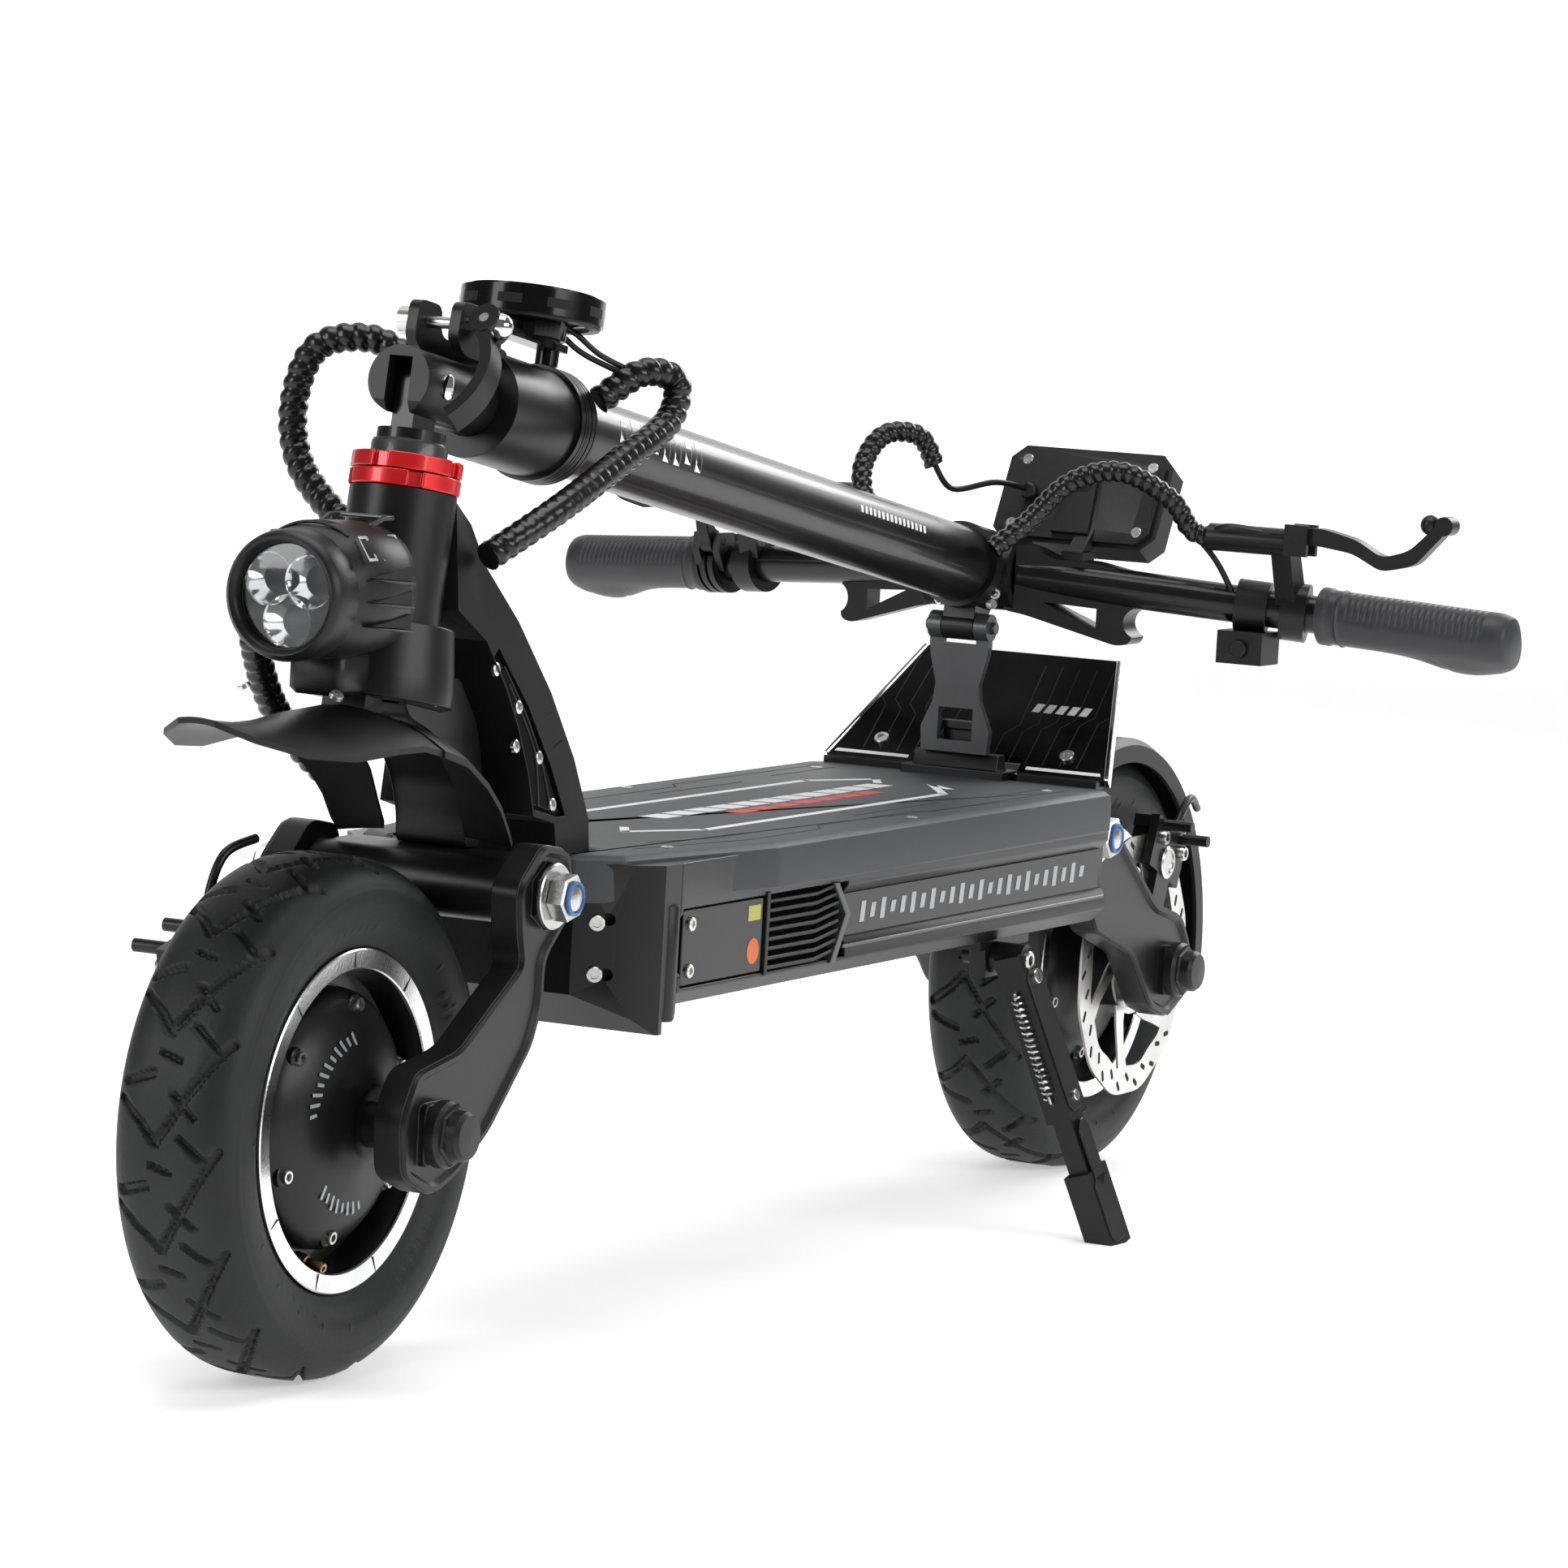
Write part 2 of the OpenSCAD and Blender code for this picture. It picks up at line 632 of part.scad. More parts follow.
// Polished edge strips on both slanting sides of the kick plate.
module kick_trim() {
    color(STEEL) on_plate() both_sides()
        translate([0, 0, -6]) linear_extrude(7)
            polygon([[0, 92 - 2.8], [plate_l, 64 - 2.8], [plate_l, 64.4], [0, 92.4]]);
}

// Base of the fold latch: a foot on the deck that carries a hook.
latch_x = -deck_rear + 20;
module latch_base() {
    w = 27;
    color(SATIN) union() {
        block([latch_x - 19, -w - 6, deck_z - 4 + seat], [latch_x + 2, w + 6, deck_z + 5]);
        slab_y([[latch_x - 16, deck_z + 4], [latch_x - 1, deck_z + 4], [latch_x - 4, deck_z + 14],
            [latch_x - 13, deck_z + 14]], -w, w);
        slab_y([[latch_x - 15, deck_z + 12], [latch_x - 9, deck_z + 12], [latch_x - 9, deck_z + 27],
            [latch_x - 6, deck_z + 27], [latch_x - 6, deck_z + 32], [latch_x - 15, deck_z + 32]],
            -12, 12);
    }
}

// Housing of the rear torsion cartridges, behind the deck body.
module rear_mount() {
    w = housing_y;
    color(SATIN) difference() {
        union() {
            bar_y(rear_pivot, barrel_r, -w, w);
            slab_y([[rear_pivot.x, rear_pivot.z - barrel_r], [-deck_rear - seat, deck_floor + 8],
                [-deck_rear - seat, rear_pivot.z + 16], [rear_pivot.x, rear_pivot.z + barrel_r]], -w, w);
        }
        bar_y(rear_pivot, pivot_r + run_fit, -w - 1, w + 1);
    }
}

// ---------------------------------------------------------------- kickstand

stand_pivot = [-168, 0, 160];
stand_y = 92;
stand_splay = 17;
stand_rake = 14;
stand_pin_r = 5;

module kickstand_bracket() {
    base_z = deck_floor - seat;
    color(SATIN) difference() {
        union() {
            block([stand_pivot.x - 46, 58, base_z - 5], [stand_pivot.x + 20, 84, base_z]);
            slab_y([[stand_pivot.x - 30, base_z - 1], [stand_pivot.x + 14, base_z - 1],
                [stand_pivot.x + 10, stand_pivot.z - 11], [stand_pivot.x - 12, stand_pivot.z - 11]],
                74, 84);
        }
        bar_y(stand_pivot, stand_pin_r + run_fit, 50, 100);
    }
}

// Leg in its own frame: Y runs along the pin and -Z down to the foot.
module kickstand_leg() {
    leg_l = 176;
    color(SATIN) intersection() {
        union() {
            bar_y(stand_pivot, stand_pin_r, 66, 90);
            bar_y(stand_pivot, 9, 84 + gap, 104);
            translate([stand_pivot.x, 97, stand_pivot.z]) rotate([stand_splay, stand_rake, 0]) {
                block([-11, -8, -96], [11, 8, 4]);
                block([-8, -6, -140], [8, 6, -90]);
                block([-12, -8, -leg_l], [12, 8, -128]);
            }
        }
        block([-500, 0, 0], [500, 300, 300]);
    }
}

// ---------------------------------------------------------------- steering and fork

tongue_r = 11;
tongue_t = 12;

// Steerer tube with the flat tongue that carries the fold pin.
module steerer() {
    color(GLOSS) on_steering() difference() {
        union() {
            translate([0, 0, crown_bottom + 6])
                cylinder(h = steerer_top - crown_bottom - 6, r = steerer_r);
            block([-tongue_r, -tongue_t / 2, steerer_top - 1], [tongue_r, tongue_t / 2, 0]);
            bar_y([0, 0, 0], tongue_r, -tongue_t / 2, tongue_t / 2);
        }
        bar_y([0, 0, 0], fold_pin_r + 2 * run_fit, -tongue_t, tongue_t);
    }
}

// Two notched rings that lock the steerer's bearing.
module lock_rings() {
    notch = 7;
    color(RED) on_steering() for (k = [0:1]) difference() {
        translate([0, 0, ring_top - ring_h - k * (ring_h + ring_gap)])
            cylinder(h = ring_h, r = ring_r);
        translate([0, 0, ring_top - 3 * ring_h]) cylinder(h = 4 * ring_h, r = steerer_r + seat);
        for (a = [0:3])
            rotate([0, 0, 90 * a + 40 * k])
                translate([ring_r - 3, -notch / 2, ring_top - 3 * ring_h]) cube([6, notch, 4 * ring_h]);
    }
}

// Fork crown under the head tube, with the arch that drops behind the wheel.
module fork_crown() {
    arch = [
        [404, 330], [398, 320], [376, 312], [357, 300], [344, 284], [337, 266], [336, 251],
        [321, 251], [320, 272], [322, 292], [330, 314], [350, 338]
    ];
    color(SATIN) union() {
        on_steering() difference() {
            translate([0, 0, crown_bottom]) rotate_extrude() polygon([
                [steerer_r + seat, 0], [38, 0], [38, 8], [34, crown_top - crown_bottom],
                [steerer_r + seat, crown_top - crown_bottom]
            ]);
        }
        difference() {
            slab_y(rounded(arch, 5), -20, 20);
            on_steering() translate([0, 0, crown_bottom]) cylinder(h = 60, r = steerer_r + seat);
        }
    }
}

// Torsion-cartridge housing of the front arms, at the foot of the fork arch.
module front_cartridge() {
    w = housing_y;
    p = front_pivot;
    color(SATIN) difference() {
        union() {
            bar_y(p, barrel_r, -w, w);
            slab_y([[p.x - 25, p.z - 12], [p.x, p.z - barrel_r], [p.x, p.z + barrel_r],
                [p.x - 11, p.z + 17 - seat], [p.x - 25, p.z + 17 - seat]], -w + 6, w - 6);
        }
        bar_y(p, pivot_r + run_fit, -w - 1, w + 1);
    }
}

// Thin shell over stations [x, z, half width, droop at the edge], thickened downwards.
module curved_shell(stations, y_from, y_to, t, across = 8) {
    n = len(stations);
    top = [for (s = stations, k = [0:across])
        let (v = y_from + (y_to - y_from) * k / across) [s.x, v * s[2], s.y - s[3] * v * v]];
    m = across + 1;
    points = concat(top, [for (p = top) p - [0, 0, t]]);
    o = n * m;
    faces = concat(
        [for (i = [0:n - 2], k = [0:across - 1]) let (a = i * m + k) [a, a + 1, a + m + 1, a + m]],
        [for (i = [0:n - 2], k = [0:across - 1])
            let (a = o + i * m + k) [a, a + m, a + m + 1, a + 1]],
        [for (i = [0:n - 2]) let (a = i * m) [a, a + m, o + a + m, o + a]],
        [for (i = [0:n - 2]) let (a = i * m + across) [a, o + a, o + a + m, a + m]],
        [for (k = [0:across - 1]) [k, o + k, o + k + 1, k + 1]],
        [for (k = [0:across - 1])
            let (a = (n - 1) * m + k) [a, a + 1, o + a + 1, o + a]]
    );
    polyhedron(points, [for (f = faces) [f[3], f[2], f[1], f[0]]], convexity = 6);
}

// Front visor under the lamp, with a skirt down each side of the fork arch.
module front_fender() {
    visor = [
        [562, 327, 10, 1], [550, 325, 25, 6], [520, 322, 37, 11], [485, 322, 43, 14],
        [450, 325, 46, 15], [428, 326, 47, 16], [408, 322, 48, 16]
    ];
    skirt = [
        [412, 323, 49, 16], [390, 318, 50, 17], [371, 306, 51, 17], [357, 291, 51, 14],
        [348, 274, 51, 9], [342, 262, 50, 4]
    ];
    color(SATIN) difference() {
        union() {
            curved_shell(visor, -1, 1, 3);
            curved_shell(skirt, 0.46, 1, 3.5, 4);
            curved_shell(skirt, -1, -0.46, 3.5, 4);
            on_steering() block([14, -12, crown_bottom - 8], [30, 12, crown_bottom - seat]);
        }
        on_steering() translate([0, 0, crown_bottom - seat]) cylinder(h = 60, r = 39);
    }
}

// ---------------------------------------------------------------- headlight

lamp = [492, 0, 381];
lamp_r = 30;
lens_r = 25;

module headlight_body() {
    profile = [
        [-31, 29], [-74, 29], [-74, 20], [-46, -27], [-31, -30]
    ];
    slots = [-66, -56, -46];
    color(SATIN) difference() {
        union() {
            translate(lamp) rotate([0, -90, 0]) cylinder(h = 34, r = lamp_r);
            intersection() {
                translate(lamp) slab_y(profile, -40, 40);
                translate(lamp) slab_x(paired([
                    [18, 31], [30, 26], [36, 8], [36, -10], [26, -30]
                ]), -80, -20);
            }
            translate(lamp) block([-66, -11, -50], [-40, 11, -20]);
        }
        translate(lamp) rotate([0, -90, 0]) translate([0, 0, -1]) cylinder(h = 13, r = lens_r);
        translate(lamp) rotate([0, -90, 0]) translate([0, 0, 11])
            cylinder(h = 10, r1 = lens_r - 2, r2 = lens_r - 12);
        for (x = slots) {
            translate(lamp) block([x, -26, 24], [x + 5, 26, 40]);
            both_sides() for (z = [-12, 0, 12])
                translate(lamp + [x + 2, 33, z]) rotate([0, -28, 0])
                    block([-9, 0, -1.5], [5, 9, 1.5]);
        }
        on_steering() translate([0, 0, crown_bottom - 20])
            cylinder(h = 90, r = 38 + seat);
    }
}

module headlight_lens() {
    color([0.85, 0.9, 0.95, 0.5]) translate(lamp + [-4, 0, 0]) rotate([0, -90, 0])
        cylinder(h = 3, r = lens_r - seat);
}

// ---------------------------------------------------------------- fold joint

// Barrel of the stem that swallows the steerer's tongue and turns on the fold pin.
module fold_barrel() {
    slot = tongue_t + 2 * gap;
    nose = 22.5;
    color(SATIN) on_stem() difference() {
        along_stem(-barrel_front, collar_ring_b, fold_r);
        difference() {
            block([0, -20, -20], [barrel_front + 1, 20, -8]);
            bar_y([0, 0, 0], nose, -21, 21);
        }
        block([-tongue_r - gap, -slot / 2, -fold_r - 1], [barrel_front + 1, slot / 2, 0]);
        block([0, -slot / 2, -1], [barrel_front + 1, slot / 2, tongue_r + gap]);
        bar_y([0, 0, 0], tongue_r + gap, -slot / 2, slot / 2);
        bar_y([0, 0, 0], fold_pin_r + seat, -20, 20);
    }
}

// Fold pin, and the skewer of the quick release with the eye its lever turns on.
ear_at = [-18, 0, 34];
lever_tilt = 26;
hinge_y = 25;
eye_t = 7;
module joint_pins() {
    color(STEEL) on_stem() union() {
        bar_y([0, 0, 0], fold_pin_r, -fold_r, fold_r);
        bar_y(ear_at, 3, -19, hinge_y);
        bar_y(ear_at, 7, -24, -15 - seat);
        on_lever() {
            rotate([0, 90, 0]) translate([0, 0, -eye_t / 2]) cylinder(h = eye_t, r = 5.5);
            rotate([0, 90, 0]) translate([0, 0, -7.5]) cylinder(h = 15, r = 2.5);
        }
    }
}

// Frame of the quick-release lever, whose X is its hinge axis.
module on_lever() {
    translate([ear_at.x, hinge_y, ear_at.z]) rotate([0, -lever_tilt, 0]) children();
}

// Sleeve around the barrel, with clamp ears on top and a ribbed ring at its rear.
module lock_collar() {
    ears = rounded([
        [-58, 18], [-58, 27], [-32, 29], [-30, 44], [-7, 44], [-6, 24], [-16, 17.8]
    ], 6);
    rib_count = 4;
    color(SATIN) on_stem() difference() {
        union() {
            along_stem(collar_a, collar_b, collar_r);
            along_stem(collar_b - 1, collar_ring_b, collar_r + 2);
            for (side = [-1, 1]) slab_y(ears, side * 12 - 3, side * 12 + 3);
        }
        along_stem(collar_a - 1, collar_ring_b + 1, fold_r + seat);
        for (k = [0:rib_count - 1]) difference() {
            along_stem(collar_b + 2 + 3.5 * k, collar_b + 3.6 + 3.5 * k, collar_r + 4);
            along_stem(collar_b, collar_ring_b, collar_r + 0.6);
        }
        bar_y(ear_at, 3 + run_fit, -30, 30);
    }
}

// Quick-release lever that hugs the left side of the fold joint.
module quick_lever() {
    hug_r = 35;
    centre = [-hinge_y, -31];
    band = concat(arc(centre, hug_r + 3, 48, -46, 10), arc(centre, hug_r - 3, -46, 48, 10));
    color(SATIN) on_stem() on_lever() difference() {
        union() {
            slab_x(band, -7, 7);
            translate([-7.5, 0, 0]) rotate([0, 90, 0]) cylinder(h = 15, r = 8);
        }
        translate([-eye_t / 2 - gap, 0, 0]) rotate([0, 90, 0]) cylinder(h = eye_t + 2 * gap, r = 9);
        translate([-8, 0, 0]) rotate([0, 90, 0]) cylinder(h = 16, r = 2.5 + run_fit);
    }
}

// ---------------------------------------------------------------- stem and horn

bar_centre = stem_point(stem_l, 0, 0);
bar_core = 26;
bar_sweep = 73;
bar_drop = 20;
clamp_r = 22;

// Point on the handlebar's centre line at a given Y.
function bar_at(y) = let (t = max(0, (abs(y) - bar_core) / (bar_half - bar_core)))
    [bar_centre.x - bar_sweep * t, y, bar_centre.z - bar_drop * t];

bar_end = bar_at(bar_half - 4);

module stem_tube() {
    color(GLOSS) on_stem()
        along_stem(collar_ring_b + seat, stem_l - clamp_r - seat - 8, stem_r);
}

module horn() {
    disc_at = -104;
    disc_r = 37;
    color(GLOSS) on_stem() union() {
        translate([disc_at, 0, 50]) cylinder(h = 13, r = disc_r);
        translate([disc_at, 0, 62]) cylinder(h = 2.5, r = disc_r - 4);
        translate([disc_at, 0, 41]) cylinder(h = 10, r = 19);
        block([-134, -7, 38], [-62, 7, 42]);
        translate([-67, 0, collar_r + seat]) cylinder(h = 38 - collar_r, r = 5);
        translate([-126, 0, collar_r + 2 + seat]) cylinder(h = 36 - collar_r, r = 6);
    }
}

latch_pin = [latch_x - 1.5, 0, deck_z + 88];
strap_t = 5;
latch_pin_r = 3.5;

// Cast clamp at the end of the stem: it holds the bar, and its wings brace both sides.
module bar_clamp() {
    c = bar_centre;
    lug_r = 8;
    wing = rounded([
        [bar_core - 4, c.z + 19], [34, c.z + 17], [50, c.z + 10], [68, c.z + 10], [90, c.z + 5], [94, c.z - 2],
        [94, c.z - 36], [86, c.z - 38], [34, c.z - 23], [bar_core - 4, c.z - 21]], 4);
    window = [[44, c.z - 15], [74, c.z - 17], [74, c.z - 29]];
    notch_at = [98, c.z - 24];
    color(SATIN) union() {
        difference() {
            union() {
                bar_y(c, clamp_r, -28, 28);
                on_stem() along_stem(stem_l - clamp_r - 8, stem_l, stem_r + 3);
                slab_y([[c.x - 6, c.z - 16], [latch_pin.x - 7, latch_pin.z], [latch_pin.x + 7, latch_pin.z],
                    [c.x + 20, c.z - 4]], -10, 10);
                bar_y(latch_pin, lug_r, -10, 10);
            }
            bar_y(c, bar_r + 5 + seat, -60, 60);
            bar_y(latch_pin, latch_pin_r + run_fit, -60, 60);
        }
        both_sides() difference() {
            multmatrix([[1, -0.34, 0, 10], [0, 1, 0, 0], [0, 0, 1, 0], [0, 0, 0, 1]])
                slab_x(wing, c.x - 9, c.x + 9);
            bar_y(c, bar_r + 5 + seat, 0, bar_core + 2);
            rod(bar_at(bar_core), bar_end, bar_r + seat);
            slab_x(window, c.x - 60, c.x + 60);
            translate([c.x - 60, notch_at.x, notch_at.y]) rotate([0, 90, 0]) cylinder(h = 120, r = 9);
        }
    }
}

module handlebar() {
    color(GLOSS) union() {
        bar_y(bar_centre, bar_r + 5, -bar_core, bar_core);
        both_sides() rod(bar_at(bar_core), bar_end, bar_r);
    }
}

grip_in = 200;

// Ergonomic grip with a palm rest; it slides over the end of the bar.
module grip() {
    a = bar_at(grip_in);
    b = bar_at(bar_half);
    palm = bar_at(272);
    color(GREY) difference() {
        union() {
            rod(a, b, grip_r - 1);
            rod(a, bar_at(grip_in + 8), grip_r);
            hull($fn = 24) {
                translate(bar_at(232)) sphere(r = grip_r - 2, $fn = 24);
                translate(palm + [-5, 8, -13]) sphere(r = 10, $fn = 24);
                translate(palm + [-4, -10, -9]) sphere(r = 10, $fn = 24);
                translate(bar_at(289)) sphere(r = grip_r, $fn = 24);
            }
        }
        rod(bar_at(grip_in - 20), bar_at(bar_half - 4 + seat), bar_r + seat);
    }
}
module grip_left() { grip(); }
module grip_right() { mirror([0, 1, 0]) grip(); }

// ---------------------------------------------------------------- hand controls

left_clamp_y = 184;
right_clamp_y = 162;
lever_lift = 44;
lever_fore = 24;
pivot_pin_r = 2.5;

// Pivot of a brake lever whose clamp sits at bar position y.
function brake_pivot(y) = bar_at(y) + [lever_fore, 10, lever_lift];

// Hydraulic master cylinder with its clamp around the bar.
module lever_body(y) {
    b = bar_at(y);
    p = brake_pivot(y);
    color(SATIN) difference() {
        union() {
            rod(bar_at(y - 7), bar_at(y + 7), bar_r + 6);
            slab_y([[b.x - 2, b.z + 10], [p.x - 8, p.z + 2], [p.x + 7, p.z + 2], [b.x + 14, b.z + 4]],
                y - 7, y + 5);
            bar_y([p.x, 0, p.z - 3], 8, y - 46, y + 5);
            block([p.x - 9, y + 3, p.z - 10], [p.x - 5.5, y + 17, p.z + 8]);
            block([p.x + 5.5, y + 3, p.z - 10], [p.x + 9, y + 17, p.z + 8]);
        }
        rod(bar_at(y - 20), bar_at(y + 20), bar_r + seat);
        translate([p.x - 20, p.y, p.z]) rotate([0, 90, 0]) cylinder(h = 40, r = pivot_pin_r + run_fit);
    }
}

// Curved lever blade that turns on its pin in the master cylinder's fork.
module brake_lever(y) {
    p = brake_pivot(y);
    blade = rounded([
        [-4, -5], [10, -3], [34, -6], [52, -15], [72, -10], [88, 8], [91, 14], [86, 16], [68, -2],
        [52, -7], [36, 2], [14, 7], [-4, 6]
    ], 5);
    color(SATIN) union() {
        translate([0, p.y, p.z]) slab_x(blade, p.x - 5, p.x + 5);
        translate([p.x - 9, p.y, p.z]) rotate([0, 90, 0]) cylinder(h = 18, r = pivot_pin_r);
        translate([p.x - 6, p.y + 88.4, p.z + 13.6]) rotate([0, 90, 0]) cylinder(h = 12, r = 5.5);
    }
}

module lever_body_left() { lever_body(left_clamp_y); }
module lever_body_right() { mirror([0, 1, 0]) lever_body(right_clamp_y); }
module brake_lever_left() { brake_lever(left_clamp_y); }
module brake_lever_right() { mirror([0, 1, 0]) brake_lever(right_clamp_y); }

switch_y = 160;
button_r = 5;
button_travel = 1.5;
function switch_at() = bar_at(switch_y) + [6, 0, -22];

module switch_box() {
    s = switch_at();
    color(SATIN) difference() {
        union() {
            rod(bar_at(switch_y - 9), bar_at(switch_y + 9), bar_r + 4);
            block(s - [15, 14, 11], s + [12, 14, 8]);
        }
        rod(bar_at(switch_y - 30), bar_at(switch_y + 30), bar_r + seat);
        translate(s + [12 - 5, 0, -2]) rotate([0, 90, 0]) cylinder(h = 8, r = button_r + 2 * run_fit);
    }
}

module horn_button() {
    s = switch_at();
    color(SATIN) translate(s + [12 - 5 + button_travel + gap, 0, -2]) rotate([0, 90, 0])
        cylinder(h = 6, r = button_r);
}

throttle_y = 190;
function trigger_pivot() = bar_at(-throttle_y) + [17, 0, 14];

module throttle_body() {
    t = trigger_pivot();
    color(SATIN) difference() {
        union() {
            for (k = [0:2])
                rod(bar_at(-throttle_y + 8 - 6 * k), bar_at(-throttle_y + 4 - 6 * k), grip_r + 1);
            rod(bar_at(-throttle_y + 9), bar_at(-throttle_y - 9), bar_r + 4);
            slab_y([[t.x - 18, t.z - 14], [t.x - 14, t.z + 5], [t.x + 4, t.z + 5], [t.x + 5, t.z - 6],
                [t.x - 3, t.z - 18]], t.y - 9, t.y - 4.5);
            slab_y([[t.x - 18, t.z - 14], [t.x - 14, t.z + 5], [t.x + 4, t.z + 5], [t.x + 5, t.z - 6],
                [t.x - 3, t.z - 18]], t.y + 4.5, t.y + 9);
        }
        rod(bar_at(-throttle_y + 30), bar_at(-throttle_y - 30), bar_r + seat);
        bar_y(t, pivot_pin_r + run_fit, t.y - 20, t.y + 20);
        bar_y(t, 9.5, t.y - 4.5, t.y + 4.5);
    }
}

module throttle_trigger() {
    t = trigger_pivot();
    paddle = rounded([[t.x - 4, t.z - 3], [t.x + 4, t.z - 5], [t.x + 11, t.z + 5],
        [t.x + 15, t.z + 17], [t.x + 10, t.z + 18], [t.x + 3, t.z + 9], [t.x - 4, t.z + 5]], 4);
    color(SATIN) union() {
        slab_y(paddle, t.y - 4, t.y + 4);
        bar_y(t, 7, t.y - 4, t.y + 4);
        bar_y(t, pivot_pin_r, t.y - 9, t.y + 9);
    }
}

// Display seen from behind: a chamfered box on an arm from the bar.
display_y = 50;
module display() {
    w = 104;
    h = 62;
    t = 20;
    tilt = 28;
    c = bar_at(display_y) + [-32, 0, 44];
    face = [[-w / 2 + 8, -h / 2], [w / 2 - 8, -h / 2], [w / 2, -h / 2 + 8], [w / 2, h / 2 - 8],
        [w / 2 - 8, h / 2], [-w / 2 + 8, h / 2], [-w / 2, h / 2 - 8], [-w / 2, -h / 2 + 8]];
    m = bar_at(display_y + 9);
    foot_z = bar_centre.z + 10 + seat;
    color(SATIN) difference() {
        union() {
            translate([c.x, display_y, c.z]) rotate([0, -tilt, 0]) {
                slab_x(face, -t / 2, t / 2 - 3);
                slab_x([for (p = face) 0.93 * p], t / 2 - 4, t / 2);
                slab_x([[-12, -26], [12, -26], [9, 12], [-9, 12]], t / 2 - 1, t / 2 + 4);
            }
            block([m.x - 8, m.y - 7, foot_z], [m.x + 8, m.y + 7, foot_z + 5]);
            slab_y([[m.x - 6, foot_z + 4], [c.x, c.z - 18], [c.x + 12, c.z - 8], [m.x + 6, foot_z + 4]],
                m.y - 5, m.y + 5);
        }
        for (sy = [-1, 1]) for (sz = [-1, 1])
            translate([c.x, display_y, c.z]) rotate([0, -tilt, 0])
                translate([t / 2 - 2, sy * (w / 2 - 12), sz * (h / 2 - 10)])
                    rotate([0, 90, 0]) cylinder(h = 6, r = 3);
    }
}

// Latch strap that hangs from the clamp and drops over the hook behind it.
module latch_strap() {
    p = latch_pin;
    low = deck_z + 14;
    window = [[-11, low + 7], [11, low + 7], [11, low + 26], [-11, low + 26]];
    outline = paired([
        [19, p.z - 10], [18, p.z - 18], [14, p.z - 34], [15, p.z - 44], [22, low + 14], [21, low]
    ]);
    color(GREY) difference() {
        union() {
            slab_x(outline, p.x - strap_t / 2, p.x + strap_t / 2);
            both_sides() {
                bar_y(p, 8, 10 + gap, 19);
                block([p.x - strap_t / 2, 10 + gap, p.z - 12], [p.x + strap_t / 2, 19, p.z]);
            }
            bar_y(p, latch_pin_r, -22, 22);
        }
        slab_x(window, p.x - 10, p.x + 10);
    }
}

// ---------------------------------------------------------------- cable looms

loom_r = 7.5;
right_route = [
    [314, -28, 483], [324, -52, 499], [336, -78, 494], [340, -88, 466], [342, -82, 436],
    [346, -58, 412], [352, -34.2, 398]
];
left_route = [
    [230, 25.5, 473], [212, 40, 488], [194, 50, 484], [204, 52, 464], [250, 50, 444],
    [306, 48, 422], [352, 33.9, 398]
];
fork_route = [
    [440, -43, 373], [424, -55, 360], [408, -61, 342], [390, -63, 320], [366, -61, 298], [346, -52, 280],
    [336, -44, 268]
];
hand_route = [
    [-258, 27.3, 383.5], [-272, 42, 400], [-284, 62, 424], [-292, 90, 432], [-306, 116, 418],
    [-315, 126, 401], [-316, 136.9, 397.8]
];
loop_route = [
    [-196, -23.5, 397], [-206, -34, 426], [-224, -30, 446], [-242, -16, 446], [-248, -8, 430]
];
wire_route = [[-248, -8, 428], [-266, -4, 416], [-300, 8, 420], [-327.5, 18, 415.7]];

module neck_looms() {
    color(GLOSS) {
        tube(right_route, loom_r, 2);
        tube(left_route, loom_r, 2);
    }
}

module fork_loom() { color(GLOSS) tube(fork_route, loom_r, 2); }

module bar_looms() {
    color(GLOSS) {
        tube(hand_route, 6, 2);
        tube(loop_route, 6, 2);
        tube(wire_route, 2, 2);
    }
}

// ---------------------------------------------------------------- parts

deck_frame();
nose_block();
deck_mat();
side_windows();
side_vents();
gooseneck();
neck_panels();
kick_plate();
kick_trim();
latch_base();
rear_mount();
kickstand_bracket();
kickstand_leg();
steerer();
lock_rings();
fork_crown();
front_cartridge();
front_fender();
headlight_body();
headlight_lens();
front_arm_left();
front_arm_right();
front_shafts();
front_caliper();
front_tyre();
front_rim();
front_motor();
front_rotor();
rear_arm_left();
rear_arm_right();
rear_shafts();
rear_caliper();
rear_fender();
rear_tyre();
rear_rim();
rear_motor();
rear_rotor();
fold_barrel();
joint_pins();
lock_collar();
quick_lever();
stem_tube();
horn();
bar_clamp();
handlebar();
grip_left();
grip_right();
lever_body_left();
lever_body_right();
brake_lever_left();
brake_lever_right();
switch_box();
horn_button();
throttle_body();
throttle_trigger();
display();
latch_strap();
neck_looms();
fork_loom();
bar_looms();
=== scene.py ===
"""Looks of a folded electric kick scooter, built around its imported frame.

Sizes inside the classes are in millimetres in the scooter's own frame: +X forward, +Y to the
rider's left and +Z up, with the origin on the floor under the middle of the wheelbase.
"""

import json
import logging
import math
from collections.abc import Callable, Iterable, Sequence
from dataclasses import dataclass
from enum import Enum
from typing import Protocol

import bmesh
import bpy
import numpy as np
from mathutils import Matrix, Vector

